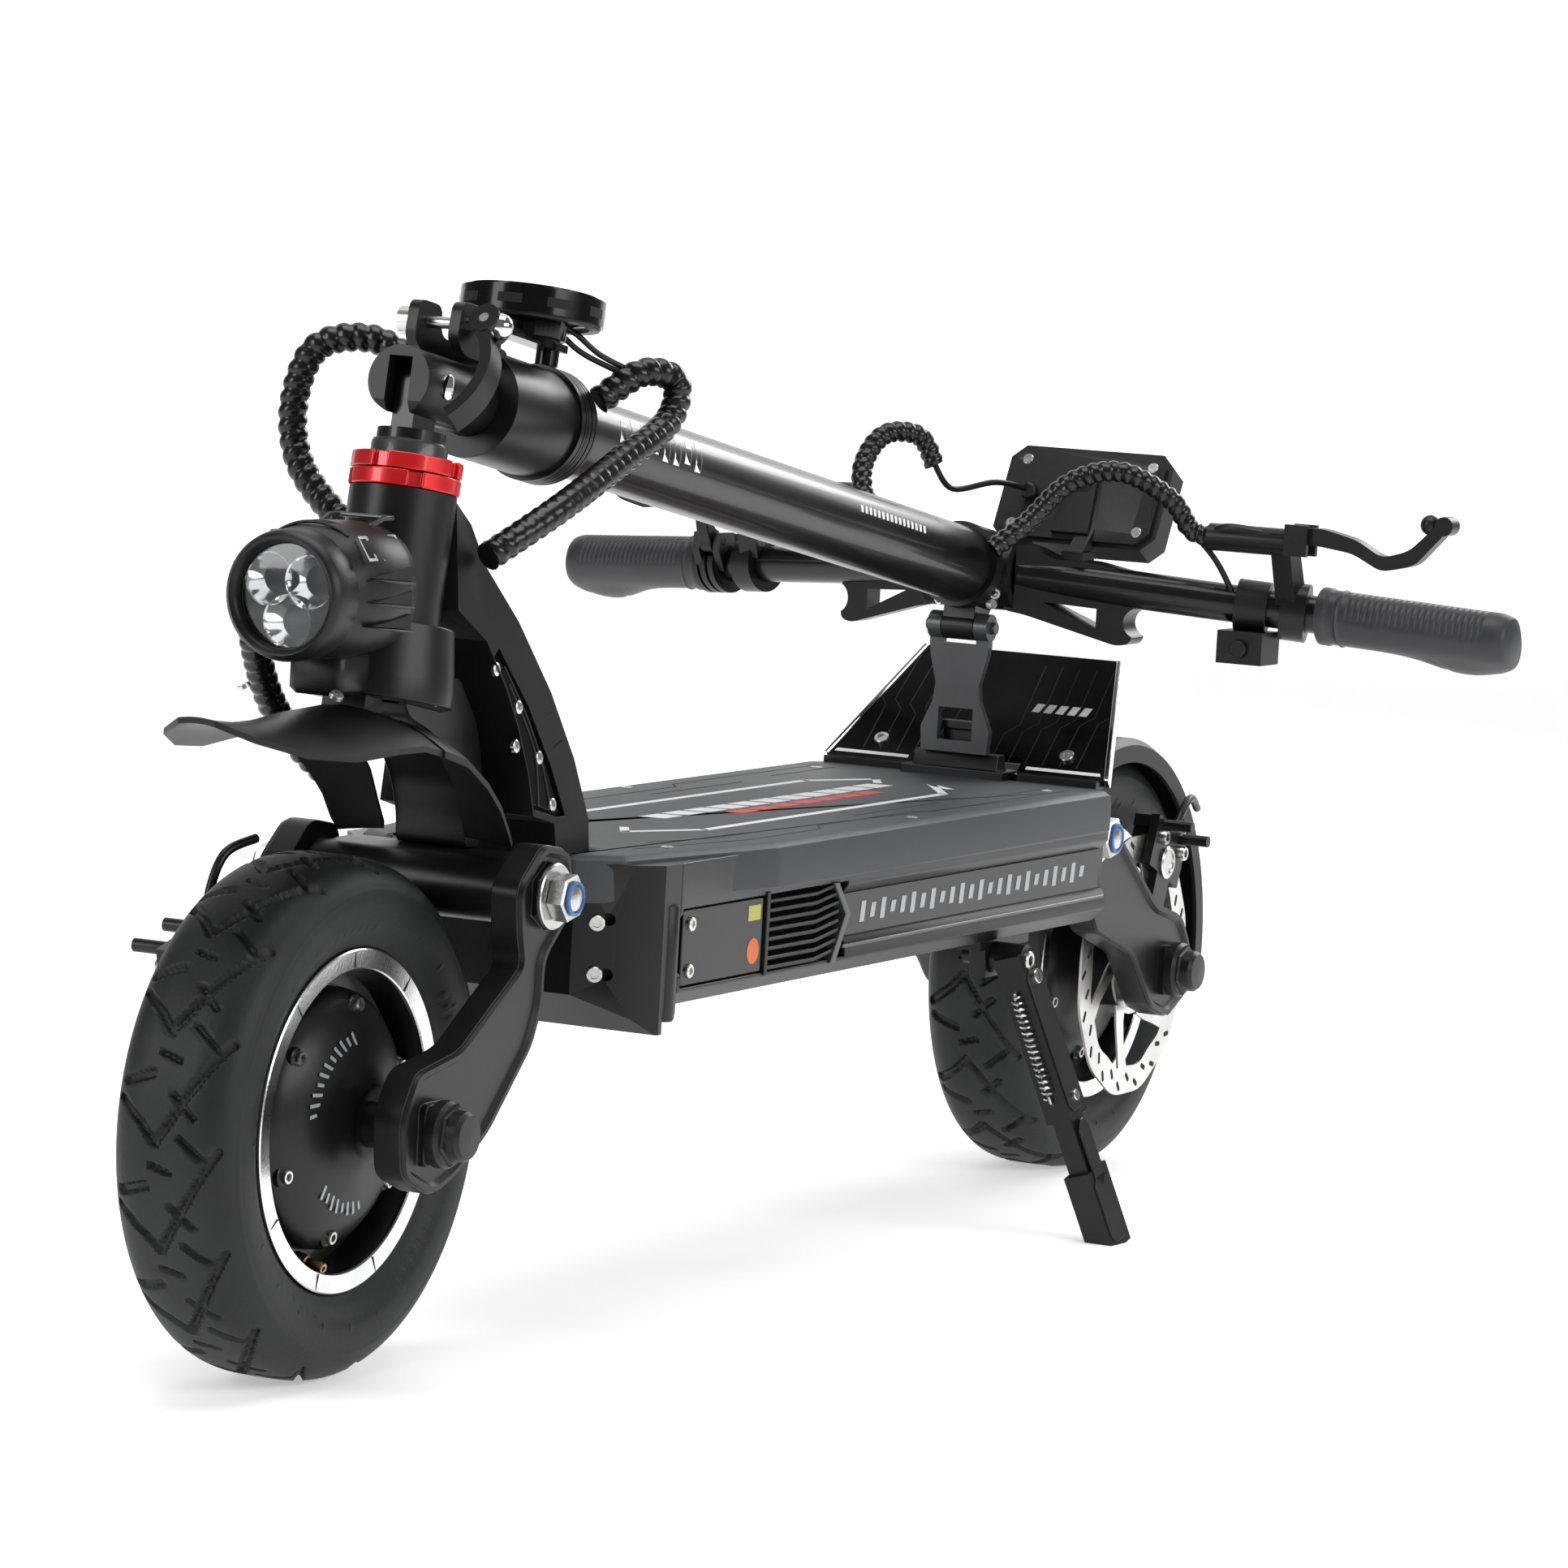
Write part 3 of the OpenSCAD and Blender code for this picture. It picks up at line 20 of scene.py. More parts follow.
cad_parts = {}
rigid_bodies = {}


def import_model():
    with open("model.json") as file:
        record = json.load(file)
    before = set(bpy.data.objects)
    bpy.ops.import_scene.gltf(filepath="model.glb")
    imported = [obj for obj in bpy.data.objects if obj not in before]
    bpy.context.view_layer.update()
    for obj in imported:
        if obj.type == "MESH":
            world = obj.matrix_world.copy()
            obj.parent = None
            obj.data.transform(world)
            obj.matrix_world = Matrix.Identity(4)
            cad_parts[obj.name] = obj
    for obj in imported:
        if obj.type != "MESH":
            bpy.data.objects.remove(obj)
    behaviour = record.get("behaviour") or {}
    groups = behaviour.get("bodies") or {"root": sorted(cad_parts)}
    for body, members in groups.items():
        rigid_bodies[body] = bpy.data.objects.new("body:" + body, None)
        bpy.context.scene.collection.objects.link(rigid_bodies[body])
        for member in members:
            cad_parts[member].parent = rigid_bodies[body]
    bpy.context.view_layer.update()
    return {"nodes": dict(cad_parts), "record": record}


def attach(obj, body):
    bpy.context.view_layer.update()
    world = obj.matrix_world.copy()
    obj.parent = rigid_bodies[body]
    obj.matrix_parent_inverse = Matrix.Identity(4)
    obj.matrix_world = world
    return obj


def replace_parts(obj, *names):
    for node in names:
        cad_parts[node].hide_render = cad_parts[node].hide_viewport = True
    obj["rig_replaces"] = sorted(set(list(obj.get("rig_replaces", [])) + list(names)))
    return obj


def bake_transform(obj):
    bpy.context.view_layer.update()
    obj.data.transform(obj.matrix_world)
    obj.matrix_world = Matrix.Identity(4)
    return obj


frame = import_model()

log = logging.getLogger("scooter")

MM = 0.001
LEAN = math.radians(10)
DIP = math.radians(9.5)
FOLD_PIN = Vector((455 - 480 * math.tan(LEAN), 0, 480))
STEERING = Matrix.Translation(FOLD_PIN) @ Matrix.Rotation(-LEAN, 4, "Y")
STEM = Matrix.Translation(FOLD_PIN) @ Matrix.Rotation(-DIP, 4, "Y")
BAR_T = 679
BAR_CORE, BAR_HALF, BAR_SWEEP, BAR_DROP = 26, 306, 73, 20

Point = Sequence[float]
Ring = list[Vector]


def bar_at(y: float) -> Vector:
    """Point on the handlebar's centre line.

    Args:
        y: distance from the centre plane, positive on the left.

    Returns:
        The point in millimetres.
    """
    centre = STEM @ Vector((-BAR_T, 0, 0))
    t = max(0.0, (abs(y) - BAR_CORE) / (BAR_HALF - BAR_CORE))
    return Vector((centre.x - BAR_SWEEP * t, y, centre.z - BAR_DROP * t))


def pointing(at: Point, direction: Point, roll: float = 0.0) -> Matrix:
    """Frame whose Z runs along a direction.

    Args:
        at: the frame's origin.
        direction: where its Z points.
        roll: turn about Z, in degrees.

    Returns:
        The frame as a matrix.
    """
    turn = Vector(direction).to_track_quat("Z", "Y").to_matrix().to_4x4()
    return Matrix.Translation(Vector(at)) @ turn @ Matrix.Rotation(math.radians(roll), 4, "Z")


def across(at: Point, side: float = 1.0) -> Matrix:
    """Frame at a point whose Z runs along +Y or -Y and whose Y runs up.

    Args:
        at: the frame's origin.
        side: +1 for a Z along +Y, -1 for one along -Y.

    Returns:
        The frame as a matrix.
    """
    basis = Matrix(((-side, 0, 0), (0, 0, side), (0, 1, 0))).to_4x4()
    return Matrix.Translation(Vector(at)) @ basis


def arc(cx: float, cy: float, r: float, a0: float, a1: float, n: int = 12) -> list[tuple[float, float]]:
    """Points of a flat arc.

    Args:
        cx: centre, first coordinate.
        cy: centre, second coordinate.
        r: radius.
        a0: first angle in degrees.
        a1: last angle in degrees.
        n: number of steps.

    Returns:
        n + 1 points.
    """
    steps = [math.radians(a0 + (a1 - a0) * k / n) for k in range(n + 1)]
    return [(cx + r * math.cos(a), cy + r * math.sin(a)) for a in steps]


def rounded(points: Sequence[Point], reach: float, n: int = 4) -> list[tuple[float, float]]:
    """Closed outline with its corners eased.

    Args:
        points: the corners.
        reach: how far the easing reaches along each side.
        n: steps in each corner.

    Returns:
        The eased outline.
    """
    out = []
    count = len(points)
    for i, raw in enumerate(points):
        v, p, q = Vector(raw), Vector(points[i - 1]), Vector(points[(i + 1) % count])
        a = v + (p - v).normalized() * min(reach, (p - v).length / 2.1)
        b = v + (q - v).normalized() * min(reach, (q - v).length / 2.1)
        for k in range(n + 1):
            t = k / n
            w = (1 - t) ** 2 * a + 2 * t * (1 - t) * v + t * t * b
            out.append((w.x, w.y))
    return out


def mirrored(points: Sequence[Point]) -> list[tuple[float, float]]:
    """Closed outline from its half, flipped in the second coordinate."""
    return [(p[0], p[1]) for p in points] + [(p[0], -p[1]) for p in reversed(points)]


def smooth(points: Sequence[Point], steps: int) -> list[Vector]:
    """Smooth curve through points.

    Args:
        points: the points it passes.
        steps: pieces between two points.

    Returns:
        The points of the curve.
    """
    pts = [Vector(p) for p in points]
    last = len(pts) - 1
    out = []
    for i in range(last):
        p0, p1, p2, p3 = pts[max(i - 1, 0)], pts[i], pts[i + 1], pts[min(i + 2, last)]
        for k in range(steps):
            t = k / steps
            out.append(0.5 * (2 * p1 + (p2 - p0) * t + (2 * p0 - 5 * p1 + 4 * p2 - p3) * t * t
                              + (3 * p1 - p0 - 3 * p2 + p3) * t ** 3))
    return out + [pts[last]]


def inset(outline: Sequence[Point], d: float) -> list[tuple[float, float]]:
    """Outline moved inwards by d along its corner normals."""
    pts = [Vector((p[0], p[1])) for p in outline]
    area = sum(a.x * b.y - b.x * a.y for a, b in zip(pts, pts[1:] + pts[:1]))
    sign = 1 if area > 0 else -1
    out = []
    for i, v in enumerate(pts):
        a, b = v - pts[i - 1], pts[(i + 1) % len(pts)] - v
        if a.length < 1e-6 or b.length < 1e-6:
            out.append((v.x, v.y))
            continue
        na, nb = Vector((-a.y, a.x)).normalized(), Vector((-b.y, b.x)).normalized()
        m = na + nb
        if m.length < 0.3:
            out.append((v.x, v.y))
            continue
        m = m.normalized()
        out.append(tuple(v + sign * m * d / max(0.5, m.dot(na))))
    return out


# Frame of side profiles: its X and Y are the scooter's X and Z, and its -Z points to the left.
SIDE = across((0, 0, 0), -1)


class Shape:
    """A mesh under construction, in millimetres."""

    def __init__(self) -> None:
        """Start empty."""
        self.verts: list[Vector] = []
        self.faces: list[tuple[int, ...]] = []

    def loft(self, rings: Sequence[Ring], caps: bool = True, cyclic: bool = False) -> "Shape":
        """Skin over rings of equal length.

        Args:
            rings: closed rings of points.
            caps: whether the first and last rings are filled.
            cyclic: whether the last ring joins the first.

        Returns:
            The shape itself.
        """
        base, n = len(self.verts), len(rings[0])
        for ring in rings:
            self.verts.extend(Vector(p) for p in ring)
        count = len(rings)
        for i in range(count if cyclic else count - 1):
            a, b = base + i * n, base + ((i + 1) % count) * n
            for k in range(n):
                m = (k + 1) % n
                self.faces.append((a + k, a + m, b + m, b + k))
        if caps and not cyclic:
            self.faces.append(tuple(base + k for k in reversed(range(n))))
            self.faces.append(tuple(base + (count - 1) * n + k for k in range(n)))
        return self

    def lathe(self, at: Matrix, profile: Sequence[Point], segments: int = 48,
              closed: bool = False) -> "Shape":
        """Turn a profile of (radius, height) about the frame's Z.

        Args:
            at: the frame.
            profile: the profile's points.
            segments: facets around.
            closed: whether the profile is a closed ring section.

        Returns:
            The shape itself.
        """
        rings = []
        for r, h in profile:
            rings.append([at @ Vector((max(r, 0.02) * math.cos(2 * math.pi * k / segments),
                                       max(r, 0.02) * math.sin(2 * math.pi * k / segments), h))
                          for k in range(segments)])
        return self.loft(rings, caps=not closed, cyclic=closed)

    def prism(self, at: Matrix, outline: Sequence[Point], z0: float, z1: float,
              bevel: float = 0.6) -> "Shape":
        """Bevelled slab of an outline.

        Args:
            at: the frame of the outline.
            outline: its points.
            z0: lower face.
            z1: upper face.
            bevel: width of the edge bevels.

        Returns:
            The shape itself.
        """
        inner = inset(outline, bevel)
        layers = [(inner, z0), (outline, z0 + bevel), (outline, z1 - bevel), (inner, z1)]
        return self.loft([[at @ Vector((p[0], p[1], z)) for p in ring] for ring, z in layers])

    def block(self, at: Matrix | Point, size: Point, bevel: float = 0.8) -> "Shape":
        """Bevelled block centred on a frame or a point."""
        if not isinstance(at, Matrix):
            at = Matrix.Translation(at)
        x, y, z = (s / 2 for s in size)
        corner = min(bevel * 1.5, x * 0.9, y * 0.9)
        outline = rounded([(-x, -y), (x, -y), (x, y), (-x, y)], corner, 2)
        return self.prism(at, outline, -z, z, min(bevel, z * 0.8))

    def sweep(self, path: Sequence[Vector], radius: float | Callable[[float, float], float],
              sides: int = 12, caps: bool = True) -> "Shape":
        """Tube along a path.

        Args:
            path: the centre line.
            radius: the radius, or a function of distance along the path and angle.
            sides: points around.
            caps: whether the ends are filled.

        Returns:
            The shape itself.
        """
        pts = [Vector(p) for p in path]
        normal = None
        rings: list[Ring] = []
        run = 0.0
        for i, p in enumerate(pts):
            d = (pts[min(i + 1, len(pts) - 1)] - pts[max(i - 1, 0)]).normalized()
            if normal is None:
                normal = d.orthogonal().normalized()
            normal = (normal - d * normal.dot(d)).normalized()
            side = d.cross(normal)
            if i:
                run += (p - pts[i - 1]).length
            ring = []
            for k in range(sides):
                a = 2 * math.pi * k / sides
                r = radius(run, a) if callable(radius) else radius
                ring.append(p + (normal * math.cos(a) + side * math.sin(a)) * r)
            rings.append(ring)
        return self.loft(rings, caps=caps)

    def bolt(self, at: Point, direction: Point, r: float, h: float, roll: float = 0.0) -> "Shape":
        """Socket-head bolt with its hexagonal recess."""
        place = pointing(at, direction, roll)
        n = 24

        def ring(radius: float, z: float, hexed: bool) -> Ring:
            """One ring of the head, round or hexagonal."""
            out = []
            for k in range(n):
                a = 2 * math.pi * k / n
                q = radius / math.cos((a + math.pi / 6) % (math.pi / 3) - math.pi / 6) if hexed else radius
                out.append(place @ Vector((q * math.cos(a), q * math.sin(a), z)))
            return out

        rings = [ring(r, 0, False), ring(r, h * 0.8, False), ring(r * 0.9, h, False),
                 ring(r * 0.52, h, True), ring(r * 0.48, h * 0.35, True)]
        return self.loft(rings)

    def nut(self, at: Point, direction: Point, r: float, h: float, roll: float = 0.0) -> "Shape":
        """Hexagonal nut with chamfered corners and a threaded end."""
        place = pointing(at, direction, roll)
        hexagon = [(r * math.cos(math.radians(60 * k)), r * math.sin(math.radians(60 * k))) for k in range(6)]
        self.prism(place, hexagon, 0, h, 0.9)
        return self.lathe(place, [(r * 0.52, h - 1), (r * 0.52, h + 1.2), (r * 0.42, h + 1.8), (0, h + 1.8)],
                          20)

    def mirror_y(self) -> "Shape":
        """Add this shape's mirror image across the centre plane."""
        base, count = len(self.verts), len(self.faces)
        self.verts.extend([Vector((v.x, -v.y, v.z)) for v in self.verts[:base]])
        self.faces.extend([tuple(base + i for i in reversed(f)) for f in self.faces[:count]])
        return self


# ---------------------------------------------------------------- finishes


class Grain(Enum):
    """Kinds of surface relief."""

    POWDER = "powder coat"
    LEATHERY = "moulded pebble"
    BRUSHED = "brushed"
    TURNED = "turned"
    RUBBER = "rubber"
    POLISHED = "polished"


@dataclass(frozen=True)
class Finish:
    """A procedural surface: its colour, gloss and relief."""

    name: str
    colour: tuple[float, float, float]
    roughness: float
    grain: Grain
    metallic: float = 0.0
    coat: float = 0.0
    variation: float = 0.25
    bump: float = 0.12
    scale: float = 900.0
    dust: float = 0.0
    transmission: float = 0.0
    glow: float = 0.0
    specular: float = 0.5

    def material(self) -> bpy.types.Material:
        """Build the material, or return it if it is already built.

        Returns:
            The material.
        """
        made = bpy.data.materials.get(self.name)
        if made:
            return made
        mat = bpy.data.materials.new(self.name)
        mat.use_nodes = True
        nodes, links = mat.node_tree.nodes, mat.node_tree.links
        shader = nodes["Principled BSDF"]
        shader.inputs["Metallic"].default_value = self.metallic
        shader.inputs["Coat Weight"].default_value = self.coat
        shader.inputs["Specular IOR Level"].default_value = self.specular
        shader.inputs["Coat Roughness"].default_value = 0.08
        shader.inputs["Transmission Weight"].default_value = self.transmission
        if self.glow:
            shader.inputs["Emission Color"].default_value = (*self.colour, 1)
            shader.inputs["Emission Strength"].default_value = self.glow
        where = nodes.new("ShaderNodeTexCoord")
        stretch = nodes.new("ShaderNodeMapping")
        links.new(where.outputs["Object"], stretch.inputs["Vector"])
        if self.grain is Grain.BRUSHED:
            stretch.inputs["Scale"].default_value = (0.04, 1.0, 1.0)
        if self.grain is Grain.TURNED:
            stretch.inputs["Scale"].default_value = (1.0, 0.02, 1.0)

        cloud = nodes.new("ShaderNodeTexNoise")
        cloud.inputs["Scale"].default_value = 22.0
        cloud.inputs["Detail"].default_value = 5.0
        links.new(where.outputs["Object"], cloud.inputs["Vector"])
        tint = nodes.new("ShaderNodeValToRGB")
        low, high = tint.color_ramp.elements
        low.position, high.position = 0.3, 0.75
        low.color = (*[c * (1 - self.variation) for c in self.colour], 1)
        high.color = (*[min(1.0, c * (1 + self.variation) + 0.06 * self.dust) for c in self.colour], 1)
        links.new(cloud.outputs["Fac"], tint.inputs["Fac"])
        links.new(tint.outputs["Color"], shader.inputs["Base Color"])

        fine = nodes.new("ShaderNodeTexNoise")
        fine.inputs["Scale"].default_value = self.scale
        fine.inputs["Detail"].default_value = 3.0
        links.new(stretch.outputs["Vector"], fine.inputs["Vector"])
        gloss = nodes.new("ShaderNodeMapRange")
        gloss.inputs["To Min"].default_value = max(0.02, self.roughness - 0.07)
        gloss.inputs["To Max"].default_value = min(1.0, self.roughness + 0.09)
        mix = nodes.new("ShaderNodeMath")
        mix.operation = "MULTIPLY_ADD"
        mix.inputs[1].default_value = 0.5
        links.new(cloud.outputs["Fac"], mix.inputs[0])
        half = nodes.new("ShaderNodeMath")
        half.operation = "MULTIPLY"
        half.inputs[1].default_value = 0.5
        links.new(fine.outputs["Fac"], half.inputs[0])
        links.new(half.outputs[0], mix.inputs[2])
        links.new(mix.outputs[0], gloss.inputs["Value"])
        links.new(gloss.outputs["Result"], shader.inputs["Roughness"])

        relief = nodes.new("ShaderNodeBump")
        relief.inputs["Strength"].default_value = self.bump
        relief.inputs["Distance"].default_value = 0.0004
        if self.grain is Grain.LEATHERY:
            cells = nodes.new("ShaderNodeTexVoronoi")
            cells.inputs["Scale"].default_value = self.scale
            links.new(where.outputs["Object"], cells.inputs["Vector"])
            links.new(cells.outputs["Distance"], relief.inputs["Height"])
        else:
            links.new(fine.outputs["Fac"], relief.inputs["Height"])
        links.new(relief.outputs["Normal"], shader.inputs["Normal"])
        return mat


SATIN = Finish("satin black powder coat", (0.006, 0.006, 0.0065), 0.34, Grain.POWDER, scale=1500,
               specular=0.32)
CAST = Finish("cast black arm", (0.007, 0.007, 0.0075), 0.38, Grain.POWDER, bump=0.25, scale=1100,
              specular=0.34)
GLOSS = Finish("gloss black paint", (0.004, 0.004, 0.0045), 0.3, Grain.POLISHED, coat=0.25, bump=0.03,
               scale=300,
               specular=0.3)
PANEL = Finish("gloss black panel", (0.003, 0.003, 0.0035), 0.16, Grain.POLISHED, coat=0.12, bump=0.02,
               scale=200,
               specular=0.2)
MOULDED = Finish("moulded black plastic", (0.008, 0.008, 0.0085), 0.42, Grain.LEATHERY, bump=0.12, scale=1600,
                  specular=0.32)
TREAD = Finish("tyre rubber", (0.010, 0.0105, 0.011), 0.5, Grain.RUBBER, bump=0.3, scale=700, dust=0.08,
               specular=0.3)
SILICONE = Finish("grey silicone mat", (0.034, 0.036, 0.039), 0.5, Grain.LEATHERY, bump=0.2, scale=1300,
                  variation=0.12)
# Darker silicone for the mat's grooves: painted shade.
SILICONE_GROOVE_SHADE = Finish("painted groove shade on silicone", (0.008, 0.008, 0.009), 0.7, Grain.RUBBER)
GRIP = Finish("grip rubber", (0.022, 0.0225, 0.025), 0.48, Grain.RUBBER, bump=0.25, scale=1200,
              variation=0.15)
STEEL = Finish("zinc plated steel", (0.62, 0.62, 0.61), 0.28, Grain.BRUSHED, metallic=1.0, scale=600)
CHROME = Finish("chrome", (0.8, 0.8, 0.81), 0.07, Grain.POLISHED, metallic=1.0, bump=0.02)
BRASS = Finish("brass valve", (0.5, 0.36, 0.2), 0.3, Grain.BRUSHED, metallic=1.0)
TURNED = Finish("turned rim lip", (0.78, 0.78, 0.79), 0.2, Grain.TURNED, metallic=1.0, bump=0.15, scale=800)
DISC = Finish("brushed rotor steel", (0.66, 0.65, 0.63), 0.32, Grain.BRUSHED, metallic=1.0, scale=500)
RED = Finish("red anodised", (0.62, 0.006, 0.008), 0.3, Grain.POWDER, metallic=0.35, coat=0.5, scale=1200)
# Flat black that stands in for painted shade: it fills the rotor slots, headlight windows, gaps between the
# headlight fins and horn windows where only shade would show. It also colours the rim index marks and the
# display slot.
SHADE_AND_MARK_BLACK = Finish("painted opening shade and black marks", (0.003, 0.003, 0.003), 0.8, Grain.RUBBER)
WHITE = Finish("white print", (0.75, 0.75, 0.76), 0.5, Grain.POWDER, variation=0.05)
SILVER_PRINT = Finish("silver print", (0.4, 0.41, 0.42), 0.4, Grain.POWDER, metallic=0.3, variation=0.08)
RED_PRINT = Finish("red print", (0.6, 0.03, 0.03), 0.5, Grain.POWDER, variation=0.05)
ORANGE = Finish("orange seal", (0.55, 0.13, 0.03), 0.5, Grain.POWDER, variation=0.1)
YELLOW = Finish("yellow seal", (0.42, 0.4, 0.08), 0.5, Grain.POWDER, variation=0.1)
BLUE = Finish("blue nut insert", (0.06, 0.16, 0.4), 0.4, Grain.POWDER)
STRAP_GREY = Finish("grey latch strap", (0.05, 0.051, 0.054), 0.34, Grain.POWDER, metallic=0.3, coat=0.2)
MIRROR = Finish("lamp reflector", (0.86, 0.87, 0.88), 0.08, Grain.POLISHED, metallic=1.0, bump=0.03, scale=60)
EMITTER = Finish("lamp emitter", (0.72, 0.78, 0.12), 0.3, Grain.POWDER, glow=0.35)
LENS = Finish("lamp lens", (0.95, 0.97, 1.0), 0.03, Grain.POLISHED, transmission=1.0, bump=0.01,
              variation=0.02)


# ---------------------------------------------------------------- pieces


def finished(obj: bpy.types.Object, finish: Finish, sharp: float = 32.0) -> None:
    """Give an object its finish and its smooth and sharp edges."""
    mesh = obj.data
    mesh.materials.clear()
    mesh.materials.append(finish.material())
    mesh.shade_smooth()
    mesh.set_sharp_from_angle(angle=math.radians(sharp))


def piece(name: str, shape: Shape, finish: Finish, body: str | None,
          replaces: Iterable[str] = (), sharp: float = 32.0) -> bpy.types.Object:
    """Turn a shape into a piece of the scooter.

    Args:
        name: the piece's name.
        shape: its mesh in millimetres.
        finish: its surface.
        body: the moving body it rides on, or None for a piece on no moving body.
        replaces: frame nodes it stands for.
        sharp: edges over this angle stay sharp.

    Returns:
        The new object.
    """
    mesh = bpy.data.meshes.new(name)
    mesh.from_pydata([tuple(v * MM) for v in shape.verts], [], shape.faces)
    work = bmesh.new()
    work.from_mesh(mesh)
    bmesh.ops.remove_doubles(work, verts=work.verts, dist=1e-6)
    bmesh.ops.dissolve_degenerate(work, dist=1e-7, edges=work.edges)
    bmesh.ops.recalc_face_normals(work, faces=work.faces)
    work.to_mesh(mesh)
    work.free()
    obj = bpy.data.objects.new(name, mesh)
    bpy.context.scene.collection.objects.link(obj)
    finished(obj, finish, sharp)
    if body is not None:
        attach(obj, body)
    if replaces:
        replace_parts(obj, *replaces)
    log.info("built %s (%d faces)", name, len(mesh.polygons))
    return obj


def softened(node: str, finish: Finish, body: str, width: float = 0.8,
             angle: float = 34.0) -> bpy.types.Object:
    """Stand-in for a frame node with eased edges.

    Args:
        node: the frame node.
        finish: its surface.
        body: the body it rides on.
        width: width of the eased edges in millimetres.
        angle: edges over this angle are eased, in degrees.

    Returns:
        The new object.
    """
    mesh = frame["nodes"][node].data.copy()
    mesh.name = f"eased_{node}"
    work = bmesh.new()
    work.from_mesh(mesh)
    bmesh.ops.remove_doubles(work, verts=work.verts, dist=2e-6)
    bmesh.ops.dissolve_limit(work, angle_limit=math.radians(0.6), verts=work.verts, edges=work.edges)
    work.to_mesh(mesh)
    work.free()
    obj = bpy.data.objects.new(f"eased_{node}", mesh)
    bpy.context.scene.collection.objects.link(obj)
    finished(obj, finish, angle)
    ease = obj.modifiers.new("ease", "BEVEL")
    ease.width = width * MM
    ease.segments = 2
    ease.limit_method = "ANGLE"
    ease.angle_limit = math.radians(angle)
    ease.harden_normals = True
    ease.use_clamp_overlap = True
    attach(obj, body)
    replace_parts(obj, node)
    log.info("eased %s", node)
    return obj


# ---------------------------------------------------------------- wheels


@dataclass
class Wheel:
    """One hub-motor wheel with its tyre, rim, covers and brake rotor."""

    name: str
    axle_x: float
    rotor_side: int
    axle_z: float = 127.5
    tyre_r: float = 127.5
    groove_depth: float = 3.0
    pitches: int = 15

    @property
    def body(self) -> str:
        """Moving body that the wheel rides on."""
        return f"{self.name}_wheel"

    @property
    def axle(self) -> Vector:
        """Middle of the axle."""
        return Vector((self.axle_x, 0, self.axle_z))

    def tyre_section(self) -> list[Vector]:
        """Closed section of the tyre as (radius, offset) points, finely stepped."""
        side = [(84.3, 18), (84.3, 24.6), (86, 26.4), (90, 28.2), (97, 32.4), (103.5, 33.7), (110, 33.6),
                (116, 31.8), (121, 28.2), (125, 22.4), (127, 15), (127.45, 8), (127.5, 0)]
        fine = smooth([(r, y, 0) for r, y in side], 5)
        fine = [Vector((min(p.x, self.tyre_r), max(-34, min(34, p.y)), 0)) for p in fine]
        return fine + [Vector((p.x, -p.y, 0)) for p in reversed(fine[:-1])]

    def groove(self, s: np.ndarray, y: np.ndarray) -> np.ndarray:
        """Depth of the tread grooves.

        Args:
            s: distance around the tread, in millimetres.
            y: offset across the tread.

        Returns:
            Depth between 0 and 1 at each point.
        """
        pitch = 2 * math.pi * self.tyre_r / self.pitches
        strokes = [
            ([(0, 4), (9, 12), (20, 26)], 1.9), ([(0, 4), (14, -5), (32, -16), (52, -27)], 1.7),
            ([(33, 9), (28, 24)], 2.1), ([(24, -4), (14, -15)], 1.5), ([(4, -9), (-8, -24)], 1.5),
            ([(40, -4), (43, 6)], 1.3),
        ]
        depth = np.zeros_like(s)
        for path, width in strokes:
            for (s0, y0), (s1, y1) in zip(path, path[1:]):
                for shift in (-pitch, 0, pitch):
                    ds, dy = s1 - s0, y1 - y0
                    local = np.mod(s, pitch) - s0 - shift
                    t = np.clip((local * ds + (y - y0) * dy) / (ds * ds + dy * dy), 0, 1)
                    gap = np.hypot(local - t * ds, y - y0 - t * dy)
                    depth = np.maximum(depth, np.clip((width + 0.6 - gap) / 1.0, 0, 1))
        return depth

    def tyre(self) -> None:
        """Build the tyre with its grooves and sidewall relief."""
        section = self.tyre_section()
        around = 760
        r = np.array([p.x for p in section])
        y = np.array([p.y for p in section])
        angles = np.linspace(0, 2 * math.pi, around, endpoint=False)
        grid_a, grid_r = np.meshgrid(angles, r, indexing="ij")
        _, grid_y = np.meshgrid(angles, y, indexing="ij")
        on_tread = np.clip((grid_r - 116) / 3, 0, 1) * np.clip((31 - np.abs(grid_y)) / 2, 0, 1)
        direction = 1 if self.name == "front" else -1
        cut = self.groove(direction * grid_a * self.tyre_r, -grid_y) * on_tread
        ribs = 0.35 * (np.abs(np.abs(grid_r - 111.5) - 1.2) < 0.5) * (np.abs(grid_y) > 28)
        ticks = 0.45 * (np.mod(grid_a * 24 / (2 * math.pi), 1) < 0.05) * (np.abs(grid_r - 100) < 3)
        blocks = 0.4 * (np.mod(grid_a * 80 / (2 * math.pi), 1) < 0.5) * (np.abs(grid_r - 95) < 1.6)
        blocks *= np.mod(grid_a * 5 / (2 * math.pi), 1) < 0.36
        height = grid_r - self.groove_depth * cut
        sidewall = (ribs + ticks + blocks) * np.sign(grid_y) * (np.abs(grid_y) < 33.4)
        offset = grid_y + sidewall
        shape = Shape()
        x = self.axle.x + height * np.cos(grid_a)
        z = self.axle.z + height * np.sin(grid_a)
        count = len(section)
        shape.verts = [Vector(v) for v in np.stack([x, offset, z], -1).reshape(-1, 3)]
        for i in range(around):
            a, b = i * count, ((i + 1) % around) * count
            shape.faces.extend((a + k, a + (k + 1) % count, b + (k + 1) % count, b + k) for k in range(count))
        piece(f"{self.name}_tyre_tread", shape, TREAD, self.body, [f"{self.name}_tyre"], sharp=40)

